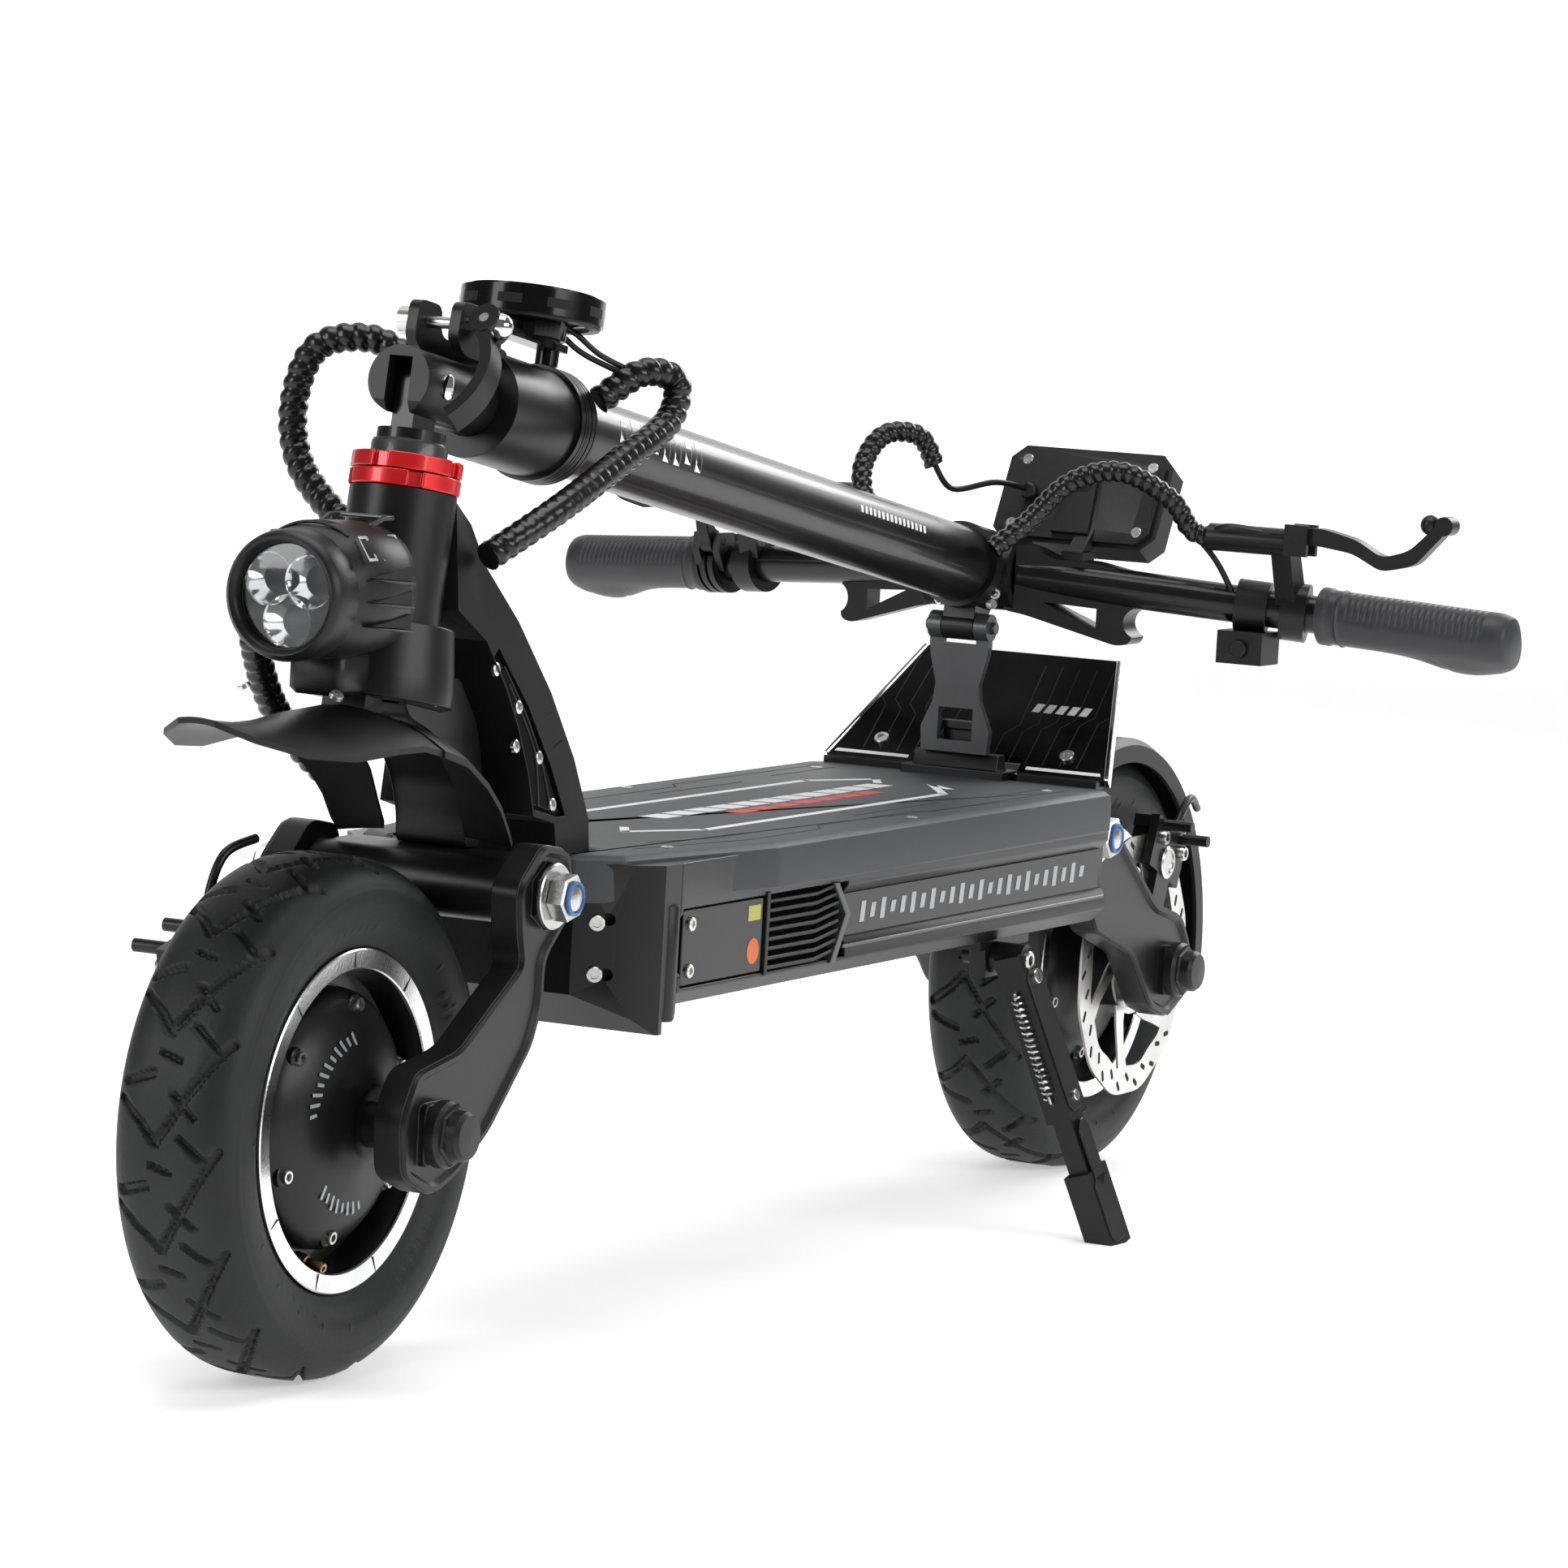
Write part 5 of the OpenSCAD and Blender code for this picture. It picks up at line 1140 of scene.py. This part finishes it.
@dataclass
class Arms:
    """Dressing of one pair of swing arms: raised rims, washers, nuts, caps and caliper parts."""

    name: str
    pivot: tuple[float, float]
    axle: tuple[float, float]
    rotor_side: int
    caliper_angle: float
    face: float = 73.0

    def outline(self) -> list[tuple[float, float]]:
        """Outline of the arm in X and Z."""
        p, a = Vector(self.pivot), Vector(self.axle)
        if self.name == "front":
            raw = [p + Vector(v) for v in ((-18, 22), (6, 26), (30, 6), (27, -18), (22, -33))]
            raw += [a + Vector(v) for v in ((-22, 38), (20, 31), (33, 10), (29, -19), (0, -31), (-22, -24),
                                            (-52, -6))]
            raw += [p + Vector(v) for v in ((9, -74), (0, -54), (0, -32), (-23, -12), (-23, 14))]
        else:
            raw = [p + Vector(v) for v in ((13, 16), (-8, 22), (-30, 6))]
            raw += [a + Vector(v) for v in ((26, 42), (-14, 32), (-30, 12), (-28, -18), (0, -30), (26, -22),
                                            (62, 14))]
            raw += [p + Vector(v) for v in ((-12, -58), (4, -34), (17, -8))]
        return rounded([tuple(v) for v in raw], 7)

    def rims(self) -> None:
        """Raise a cast rim around each arm's outer face."""
        outline = self.outline()
        shape = Shape()
        rings = [(inset(outline, 0.8), -self.face + 0.4), (inset(outline, 1.4), -self.face - 2.2),
                 (inset(outline, 3.8), -self.face - 2.2), (inset(outline, 6.2), -self.face + 0.4)]
        shape.loft([[SIDE @ Vector((p[0], p[1], z)) for p in ring] for ring, z in rings], cyclic=True)
        body = f"{self.name}_arms"
        piece(f"{self.name}_arm_rims", shape.mirror_y(), CAST, body)

    def fasteners(self) -> None:
        """Build the pivot and axle hardware that the shafts' outer ends show."""
        body = f"{self.name}_arms"
        px, pz = self.pivot
        ax, az = self.axle
        steel, blue, caps, shafts = Shape(), Shape(), Shape(), Shape()
        out = (0, 1, 0)
        steel.lathe(pointing((px, self.face + 4, pz), out), [(16.5, 0), (16.5, 1.6), (15.8, 2.2), (9, 2.2),
                                                             (9, 0)],
                    64)
        steel.nut((px, self.face + 6.2, pz), out, 12.2, 9.5, roll=11)
        blue.lathe(pointing((px, self.face + 15.9, pz), out), [(8.6, 0), (8.6, 1.4), (7.2, 1.9), (6.5, 0.2)],
                   40,
                   closed=True)
        caps.lathe(pointing((ax, self.face + 4, az), out), [(16.5, 0), (16.5, 5), (15, 7), (12.5, 7.6),
                                                            (12.2, 14),
                                                          (10.5, 16.2), (0, 16.8)], 48)
        caps.prism(pointing((ax, self.face + 4, az), out, roll=20), arc(0, 0, 15.2, 0, 300, 5), 0, 9, 1.0)
        shafts.lathe(across((px, 0, pz)), [(8.9, -77), (8.9, 77)], 48)
        shafts.lathe(across((ax, 0, az)), [(5.9, -77), (5.9, 77)], 48)
        shafts.lathe(pointing((ax, 0, az), out), [(11, 8), (11, 57), (10, 57.8), (6, 57.8), (6, 8)], 40)
        shafts.lathe(pointing((ax, 0, az), (0, -1, 0)), [(11, 8), (11, 57), (10, 57.8), (6, 57.8), (6, 8)],
                     40)
        piece(f"{self.name}_pivot_nuts", steel.mirror_y(), STEEL, body, [f"{self.name}_shafts"])
        piece(f"{self.name}_nut_inserts", blue.mirror_y(), BLUE, body)
        piece(f"{self.name}_axle_caps", caps.mirror_y(), CAST, body)
        piece(f"{self.name}_shaft_cores", shafts, SATIN, body)

    def caliper(self) -> None:
        """Add the bolts, banjo and hose stub of the caliper."""
        body = f"{self.name}_arms"
        turn = (Matrix.Translation((self.axle[0], 0, self.axle[1]))
                @ Matrix.Rotation(-math.radians(self.caliper_angle), 4, "Y"))
        flip = Matrix.Scale(-1, 4, (0, 1, 0)) if self.rotor_side < 0 else Matrix.Identity(4)
        steel, hose = Shape(), Shape()
        for z in (-16, 16):
            at = flip @ turn @ Vector((77, 57.6, z))
            steel.bolt(at, (0, self.rotor_side, 0), 4.4, 4.6, roll=9)
        at = flip @ turn @ Vector((66, 57.6, 0))
        steel.lathe(pointing(at, (0, self.rotor_side, 0)), [(10, 0), (10, 1.2), (8.6, 2.2), (7.2, 2.2),
                                                            (6.8, 1.2),
                                                           (0, 1.2)], 40)
        banjo = flip @ turn @ Vector((88, 52, 14))
        steel.lathe(pointing(banjo, (0, self.rotor_side, 0)),
                    [(5, -4), (5, 3), (3.6, 4), (3.6, 7), (2.6, 7.6),
                                                              (0, 7.6)], 24)
        points = [flip @ turn @ Vector(v) for v in ((88, 52, 14), (104, 52, 20), (118, 50, 34),
                                                    (118, 46, 56))]
        hose.sweep(smooth(points, 8), 2.4, 12)
        piece(f"{self.name}_caliper_bolts", steel, STEEL, body)
        piece(f"{self.name}_caliper_hose", hose, SATIN, body)

    def build(self) -> None:
        """Build the dressing of the arm pair."""
        self.rims()
        self.fasteners()
        self.caliper()


# ---------------------------------------------------------------- headlight


@dataclass
class Headlight:
    """Headlight: bezel, ribbed housing, reflector cups, emitters and lens."""

    z: float = 381.0
    lens_r: float = 25.0
    cups: tuple[tuple[float, float], ...] = ((11.0, 7.0), (-11.0, 7.0), (0.0, -12.5))

    def housing(self) -> None:
        """Build the bezel, housing, cap lines and mount."""
        at = pointing((0, 0, self.z), (1, 0, 0))
        shape = Shape()
        shape.lathe(at, [(self.lens_r + 0.3, 470), (self.lens_r + 0.3, 489), (26.8, 491.4), (28.6, 492),
                         (30.6, 490.6), (31.6, 487), (31.8, 480), (31.2, 470)], 72, closed=True)
        rings = []
        for x, w, up, down in ((474, 30.4, 30.6, 30), (468, 32.6, 32.4, 30.8), (460, 34.4, 34, 31.4),
                               (446, 36, 35, 31), (430, 35.6, 34.4, 29), (420, 33, 32.4, 27),
                               (418, 31, 31, 26)):
            ring = []
            for k in range(40):
                a = 2 * math.pi * k / 40
                c, s = math.cos(a), math.sin(a)
                power = 0.78 if x < 466 else 0.95
                y = w * math.copysign(abs(c) ** power, c)
                z = (up if s > 0 else down) * math.copysign(abs(s) ** power, s)
                ring.append(Vector((x, y, self.z + z)))
            rings.append(ring)
        shape.loft(rings)
        for x in (464, 456):
            shape.sweep([Vector((x, 34.8 * math.cos(a), self.z + 34.6 * math.sin(a)))
                         for a in np.linspace(math.radians(56), math.radians(124), 18)], 0.8, 8)
        shape.block((442, 0, self.z - 38), (30, 30, 22), 3)
        shape.block((412, 0, self.z - 6), (18, 30, 34), 2.5)
        piece("headlight_housing", shape, CAST, "fork", ["headlight_body"], sharp=50)

    def slots(self) -> None:
        """Build the shoulder windows, side fins and rear loop, with black fill in the windows and between the
        fins as painted shade.
        """
        dark, edges = Shape(), Shape()
        normal = Vector((0, 0.78, 0.62)).normalized()
        base = Vector((0, 26.3, self.z + 22.6))
        along = Vector((1, 0, 0))
        cross = normal.cross(along)
        for k in range(3):
            c = base + along * (461 - 13.5 * k) + normal * 1.2
            corners = [(4.6, -7.6), (-3.8, -7.6), (-6.6, 6.6), (1.8, 6.6)]
            pts = [c + along * u + cross * -v for u, v in corners]
            inner = [c + along * (u * 0.66 - 0.1) + cross * (-v * 0.78) for u, v in corners]
            lift, sink = normal * 1.0, normal * -3.0
            edges.loft([[p + sink for p in pts], [p + lift for p in pts], [p + lift * 0.9 for p in inner],
                        [p + sink for p in inner]], cyclic=True)
            # Painted shade: a black plug fills each window.
            dark.loft([[p + sink for p in inner], [p + normal * 0.2 for p in inner]])
        for k in range(3):
            z = self.z + 9 - 11.5 * k
            tri = [(464, z + 1), (429, z + 5.6), (429, z - 1.6)]
            lip = [(466, z + 0.6), (427, z - 2.0), (427, z - 3.4), (440, z - 2.6)]
            # Painted shade: black fills the gap between the fins.
            dark.prism(SIDE, tri, -36.1, -28, 0.2)
            edges.prism(SIDE, lip, -36.8, -28, 0.3)
        loop = [Vector(v) for v in ((436, -14, 413), (424, -15, 417), (415, -15, 417), (415, 15, 417),
                                    (424, 15, 417), (436, 14, 413))]
        edges.mirror_y()
        edges.sweep(loop, 1.3, 10)
        piece("headlight_slot_shade", dark.mirror_y(), SHADE_AND_MARK_BLACK, "fork")
        piece("headlight_edges", edges, STRAP_GREY, "fork")

    def optics(self) -> None:
        """Build the reflector cups, emitters and lens."""
        cups, chips, glass = Shape(), Shape(), Shape()
        for y, z in self.cups:
            at = pointing((0, y, self.z + z), (1, 0, 0))
            curve = [(2.2 + 10.4 * (t / 8) ** 0.62, 469 + 14.5 * t / 8) for t in range(9)]
            cups.lathe(at, curve + [(12.9, 483.7), (12.9, 468), (2.2, 468)], 48, closed=True)
            chips.block((470.6, y, self.z + z), (1.8, 4.8, 4.8), 0.3)
        cups.lathe(pointing((0, 0, self.z), (1, 0, 0)), [(0, 465), (self.lens_r, 465), (self.lens_r, 468),
                                                        (0, 468)], 64)
        glass.lathe(pointing((0, 0, self.z), (1, 0, 0)),
                    [(0, 485), (24.6, 484.4), (self.lens_r, 485), (24.9, 486.2), (18, 487.3), (9, 487.9),
                     (0, 488)],
                    64)
        piece("reflector_cups", cups, MIRROR, "fork")
        piece("lamp_chips", chips, EMITTER, "fork")
        piece("lamp_glass", glass, LENS, "fork", ["headlight_lens"])

    def build(self) -> None:
        """Build the headlight."""
        self.housing()
        self.slots()
        self.optics()


# ---------------------------------------------------------------- neck and fork dressing


@dataclass
class NeckTrim:
    """Seams, screws and ribs of the neck and of the fork parts."""

    screws: tuple[tuple[float, float], ...] = ((336, 341.5), (316, 322), (298, 296), (288, 272), (321, 303))

    @staticmethod
    def half_width(z: float) -> float:
        """Half width of the neck at a height."""
        table = [(244.2, 46), (262, 45), (296, 40), (328, 36), (364, 31), (392, 27), (430, 25)]
        return float(np.interp(z, [t[0] for t in table], [t[1] for t in table]))

    def build(self) -> None:
        """Build the dressing."""
        heads, seams = Shape(), Shape()
        for x, z in self.screws:
            y = self.half_width(z) - 1.7
            heads.lathe(pointing((x, y, z), (0, 0.99, 0.12)), [(3.4, -1), (3.4, 0.8), (2.5, 1.3), (0.9, 1.3),
                                                               (0.7, 0.5), (0, 0.5)], 20)
        for shift in (0.0, 9.0):
            line = [(328 - shift * 0.4, 343 - shift), (309 - shift * 0.2, 318 - shift),
                    (296 + shift * 0.6, 294),
                    (291 + shift * 1.3, 272)]
            route = smooth([(x, self.half_width(z) - 1.5, z) for x, z in line], 6)
            seams.sweep(route, 0.7, 8)
        for z in (300, 318, 334):
            w = self.half_width(z) + 0.1
            seams.sweep([Vector((x, w, z - (x - 285) * 0.35)) for x in (270 + (z - 290) * 0.52,
                                                                       279 + (z - 290) * 0.52)], 0.35, 6)
        piece("neck_screws", heads.mirror_y(), STEEL, "chassis")
        piece("neck_seams", seams.mirror_y(), MOULDED, "chassis")
        collar = Shape()
        collar.lathe(STEERING, [(17.2, -50), (18.8, -49.4), (19, -46), (19, -30), (18.2, -28.4), (16, -28),
                                (12.6, -28), (12.2, -29), (12.2, -50)], 64, closed=True)
        piece("steerer_collar", collar, STRAP_GREY, "fork")
        bolt = Shape()
        bolt.bolt((478, 25, 334), (0.2, 0.5, 0.84), 3.4, 2.4)
        bolt.bolt((400, 34, 330), (0.1, 0.99, 0), 3.6, 2.4)
        piece("fender_bolts", bolt.mirror_y(), STEEL, "fork")


# ---------------------------------------------------------------- fold joint, stem and horn


@dataclass
class FoldTrim:
    """Bolts, ribs, marks and horn details of the stem."""

    ribs: int = 7
    horn_x: float = -104.0
    horn_r: float = 37.0

    def build(self) -> None:
        """Build the dressing."""
        chrome, ribs, dark, marks, nut = (Shape() for _ in range(5))
        ear = Vector((-18, 0, 34))
        chrome.lathe(STEM @ pointing((ear.x, 30.5, ear.z), (0, 1, 0)),
                     [(6.4, 0), (6.6, 1.6), (5.6, 4.4), (3.6, 6.2), (1.6, 7), (0, 7.1)], 40)
        chrome.lathe(STEM @ pointing((0, 17.0, 0), (0, 1, 0)),
                     [(6.2, -0.6), (6.2, 0.5), (5.2, 0.9), (0, 0.9)], 32)
        chrome.lathe(STEM @ pointing((0, -17.0, 0), (0, -1, 0)),
                     [(6.2, -0.6), (6.2, 0.5), (5.2, 0.9), (0, 0.9)],
                     32)
        for k in range(self.ribs):
            x = -119.6 - 2.1 * k
            ribs.lathe(STEM @ pointing((x, 0, 0), (-1, 0, 0)),
                       [(28.9, 0), (30.0, 0.25), (30.0, 1.1), (28.9, 1.35)],
                       72, closed=True)
        # Painted shade: the horn's windows are black slabs, not openings.
        for k in range(9):
            a0 = 2 * math.pi * k / 9
            outer = arc(0, 0, self.horn_r + 0.12, math.degrees(a0), math.degrees(a0) + 20, 6)
            inner = arc(0, 0, self.horn_r - 1.5, math.degrees(a0) + 20, math.degrees(a0), 6)
            dark.prism(STEM @ Matrix.Translation((self.horn_x, 0, 0)), outer + inner, 53.5, 58.5, 0.2)
        ribs.lathe(STEM @ Matrix.Translation((self.horn_x, 0, 0)),
                   [(30, 48.4), (35, 48.4), (35.4, 49.2), (35.4, 50.4), (30, 50.4)], 64, closed=True)
        knurl = [((9.4 if k % 2 else 10.2) * math.cos(math.pi * k / 24), (9.4 if k % 2 else 10.2)
                  * math.sin(math.pi * k / 24)) for k in range(48)]
        nut.prism(STEM @ Matrix.Translation((self.horn_x - 6, 0, 0)), knurl, 41.6, 47.6, 0.6)
        nut.bolt(STEM @ Vector((-128, 0, 42)), (0.16, 0, 0.99), 4.2, 3)
        for k in range(8):
            x = -176 - 12.4 * k
            tall = 8.4 if k % 3 else 6.0
            self.wrap(marks, x, tall, 9.4, 16)
        for k in range(16):
            self.wrap(marks, -470 - 5.6 * k, 2.2, 3.8, 22)
        piece("fold_bolts", chrome, CHROME, "stem")
        piece("collar_ribs", ribs, SATIN, "stem")
        piece("horn_window_shade", dark, SHADE_AND_MARK_BLACK, "stem")
        piece("horn_nut", nut, STEEL, "stem")
        piece("stem_marks", marks, WHITE, "stem")

    @staticmethod
    def wrap(shape: Shape, x: float, tall: float, wide: float, angle: float) -> None:
        """Lay one slanted mark on the round of the tube.

        Args:
            shape: the shape it is added to.
            x: where it starts along the stem.
            tall: half its height around the tube.
            wide: its length along the tube.
            angle: where it sits around the tube, in degrees from the left side.
        """
        rows = []
        for r in (21.6, 22.12):
            row = []
            for edge in (0, 1):
                for k in range(6):
                    u = k / 5 if edge == 0 else 1 - k / 5
                    a = math.radians(angle) + (u - 0.5) * 2 * tall / 22
                    xx = x - edge * wide * 0.72 - (u - 0.5) * wide * 0.35
                    row.append(STEM @ Vector((xx, r * math.cos(a), r * math.sin(a))))
            rows.append(row)
        shape.loft(rows)


# ---------------------------------------------------------------- cockpit


@dataclass
class Cockpit:
    """Grips, screws, hoses and other dressing of the handlebar."""

    grip_in: float = 200.0
    grip_out: float = 306.0
    grip_r: float = 16.5

    def grip(self, side: int) -> None:
        """Build one grip with its palm wing and grooves.

        Args:
            side: 1 on the left, -1 on the right.
        """
        rings = []
        count, around = 90, 56
        for i in range(count + 1):
            t = i / count
            y = self.grip_in + (self.grip_out - self.grip_in) * t
            c = bar_at(side * y)
            swell = math.exp(-((t - 0.74) / 0.26) ** 2)
            end = min(1.0, ((1 - t) * 16) ** 0.5) if t > 0.94 else 1.0
            bead = 0.9 if t < 0.05 or 0.1 < t < 0.12 else 0.0
            ring = []
            for k in range(around):
                a = 2 * math.pi * k / around
                back = max(0.0, math.cos(a - math.radians(222)))
                r = (self.grip_r - 0.7 + bead + 12.5 * swell * back ** 3) * (0.86 + 0.14 * end)
                top = max(0.0, math.cos(a - math.radians(50)))
                if 0.16 < t < 0.9 and (t * 30) % 1 < 0.3 and top > 0.62:
                    r -= 0.7
                if back > 0.4 and abs(t - 0.62 - 0.16 * (back - 0.7)) < 0.012:
                    r -= 0.8
                ring.append(Vector((c.x + r * math.cos(a), c.y, c.z + r * math.sin(a))))
            rings.append(ring)
        if side < 0:
            rings.reverse()
        shape = Shape().loft(rings)
        name = "left" if side > 0 else "right"
        piece(f"grip_skin_{name}", shape, GRIP, "stem", [f"grip_{name}"], sharp=48)

    def build(self) -> None:
        """Build the dressing."""
        self.grip(1)
        self.grip(-1)
        steel, hose, dark = Shape(), Shape(), Shape()
        centre = bar_at(50) + Vector((-32, 0, 44))
        turn = Matrix.Translation((centre.x, 50, centre.z)) @ Matrix.Rotation(-math.radians(28), 4, "Y")
        for y in (-40, 40):
            for z in (-21, 21):
                steel.lathe(turn @ pointing((8.2, y, z), (1, 0, 0)),
                            [(3.6, 0), (3.6, 1.6), (2.8, 2.2), (1.4, 2.2), (1.2, 1.4), (0, 1.4)], 24)
        dark.block(turn @ Vector((13.6, 0, 2)), (2.4, 12, 20), 0.8)
        for y in (-1, 1):
            for x, z in ((-285, 351), (-313, 386)):
                steel.bolt((x, y * 16, z), (0.75 if x > -290 else -0.6, y * 0.35, -0.3), 3.6, 3.0)
        steel.bolt((-283, 10, 380), (0.9, 0.3, 0.25), 3.4, 3.0)
        steel.bolt((-281, 20, 357), (0.9, 0.35, -0.2), 3.4, 3.0)
        hose.sweep(smooth([(-316, 137, 398), bar_at(150) + Vector((20, 0, 44)),
                           bar_at(172) + Vector((24, 0, 44))],
                          8), 3.4, 12)
        piece("cockpit_screws", steel, STEEL, "stem")
        piece("display_slot", dark, SHADE_AND_MARK_BLACK, "stem")
        piece("left_brake_hose", hose, SATIN, "stem")
        for side in (1, -1):
            clamp_y = 184 if side > 0 else 162
            p = bar_at(side * clamp_y) + Vector((24, 0, 44))
            ball = Shape()
            c = Vector((p.x, p.y + side * 88.4, p.z + 13.6))
            ball.lathe(pointing(c, (0, 0, 1)), [(0, -5.9)] + [(5.9 * math.cos(a), 5.9 * math.sin(a))
                                                              for a in np.linspace(-1.4, 1.4, 13)] + [(0,
                                                                                                       5.9)],
                                                                                                       32)
            piece(f"lever_ball_{'left' if side > 0 else 'right'}", ball, SATIN,
                  f"lever_{'l' if side > 0 else 'r'}")


# ---------------------------------------------------------------- kick plate and stand


@dataclass
class TailTrim:
    """Printed lines, screws and spring of the kick plate and kickstand."""

    foot: tuple[float, float, float] = (-296.0, 0.0, 252.2)
    tilt: float = 41.0

    def build(self) -> None:
        """Build the dressing."""
        plate = (Matrix.Translation(self.foot) @ Matrix.Rotation(math.radians(self.tilt), 4, "Y")
                 @ Matrix.Rotation(math.pi, 4, "Z"))
        lines, white, screws = Shape(), Shape(), Shape()
        for k in range(6):
            y = 14 + 11 * k
            pts = [(8, y), (30 + 3 * k, y), (38 + 3 * k, y + 7), (88, y + 5)]
            for (x0, y0), (x1, y1) in zip(pts, pts[1:]):
                for side in (1, -1):
                    if y0 < 74 and y1 < 74 - 0.3 * x1 + 22:
                        Deck.stroke(lines, plate, [(x0, side * y0), (x1, side * y1)], 0.8, 0.12)
        for k in range(5):
            y = -24 - 7.6 * k
            white.prism(plate, [(50, y), (50, y - 5), (57, y - 6.6), (57, y - 1.6)], -0.2, 0.14, 0.04)
        for side in (1, -1):
            white.prism(plate, [(3, side * 38), (3, side * 86), (5.4, side * 85), (5.4, side * 38)][::side],
                        -0.2,
                        0.2, 0.05)
            screws.bolt(plate @ Vector((16, side * 60, 0)), tuple(plate.to_3x3() @ Vector((0, 0, 1))), 4.4,
                        2.2)
        piece("plate_lines", lines, MOULDED, "chassis")
        piece("plate_marks", white, WHITE, "chassis")
        piece("plate_screws", screws, STEEL, "chassis")
        leg = (Matrix.Translation((-168, 97, 160)) @ (Matrix.Rotation(math.radians(14), 4, "Y")
                                                      @ Matrix.Rotation(math.radians(17), 4, "X")))
        spring, facets, bolts = Shape(), Shape(), Shape()
        turns, count = 17, 340
        coil = [Vector((12.6 + 2.6 * math.cos(2 * math.pi * turns * k / count),
                        0.0 + 2.6 * math.sin(2 * math.pi * turns * k / count), -18 - 62 * k / count))
                for k in range(count + 1)]
        spring.sweep([leg @ p for p in coil], 0.8, 6)
        spring.sweep([leg @ Vector(v) for v in ((8, 0, -14), (12.6, 0, -17), (12.6, 0, -19))], 0.9, 6)
        spring.sweep([leg @ Vector(v) for v in ((12.6, 0, -79), (12.6, 0, -83), (8, 0, -86))], 0.9, 6)
        for z0, z1, w in ((-92, -6, 8.6), (-138, -98, 6), (-172, -132, 9.4)):
            facets.prism(leg @ pointing((0, 8, 0), (0, 1, 0)), self.lozenge(z0, z1, w), -1.0, 0.9, 0.5)
        bolts.bolt(leg @ Vector((0, 8.4, -12)), tuple(leg.to_3x3() @ Vector((0, 1, 0))), 4.2, 3)
        bolts.bolt(leg @ Vector((0, 8.4, -84)), tuple(leg.to_3x3() @ Vector((0, 1, 0))), 3.2, 2.4)
        bolts.bolt((-168, 103.5, 160), (0, 1, 0), 5.4, 3.2)
        piece("stand_spring", spring, STEEL, "stand")
        piece("stand_facets", facets, CAST, "stand")
        piece("stand_bolts", bolts, STEEL, "stand")

    @staticmethod
    def lozenge(z0: float, z1: float, w: float) -> list[tuple[float, float]]:
        """Outline of one raised facet on the leg, in the outer face's own plane."""
        face = pointing((0, 8, 0), (0, 1, 0)).inverted()
        corners = [(-w, z0 + 5), (-w + 4, z0), (w - 4, z0), (w, z0 + 5), (w, z1 - 5), (w - 4, z1),
                   (-w + 4, z1),
                   (-w, z1 - 5)]
        flat = [face @ Vector((x, 8, z)) for x, z in corners]
        return [(p.x, p.y) for p in flat]

# ---------------------------------------------------------------- assembly


def carried_nodes(built: set[str]) -> None:
    """Ease and finish every frame node that no piece stands for.

    Args:
        built: nodes that pieces already stand for.
    """
    record = frame["record"]
    slots = {row["node"]: row["material_slot"] for row in record["subparts"]}
    finishes = {"satin_black": SATIN, "gloss_black": GLOSS, "gloss_panel": PANEL, "black_plastic": MOULDED,
                "deck_grip": SILICONE, "tyre": TREAD, "steel": STEEL, "machined_rim": TURNED,
                "polished": CHROME, "red_rings": RED, "lens": LENS, "grip_rubber": GRIP,
                "strap_grey": STRAP_GREY, "loom": GLOSS}
    for body, nodes in record["behaviour"]["bodies"].items():
        for node in nodes:
            if node in built:
                continue
            softened(node, finishes[slots[node]], body)


class Assembly(Protocol):
    """Anything that builds its own pieces."""

    def build(self) -> None:
        """Build every piece."""


def assemblies() -> list[Assembly]:
    """Stage and sub-assemblies, in the order they are built."""
    return [
        Stage(),
        Wheel("front", 448, -1), Wheel("rear", -448, 1), Looms(), Deck(),
        Arms("front", (347, 234), (448, 127.5), -1, 74), Arms("rear", (-320, 217), (-448, 127.5), 1, 112),
        Headlight(), NeckTrim(), FoldTrim(), Cockpit(), TailTrim(),
    ]


def main() -> None:
    """Build the scooter and its stage."""
    logging.basicConfig(level=logging.INFO, format="%(message)s")
    for part in assemblies():
        part.build()
    built = {n for o in bpy.data.objects for n in o.get("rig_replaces", [])}
    carried_nodes(built)


if __name__ == "__main__":
    main()
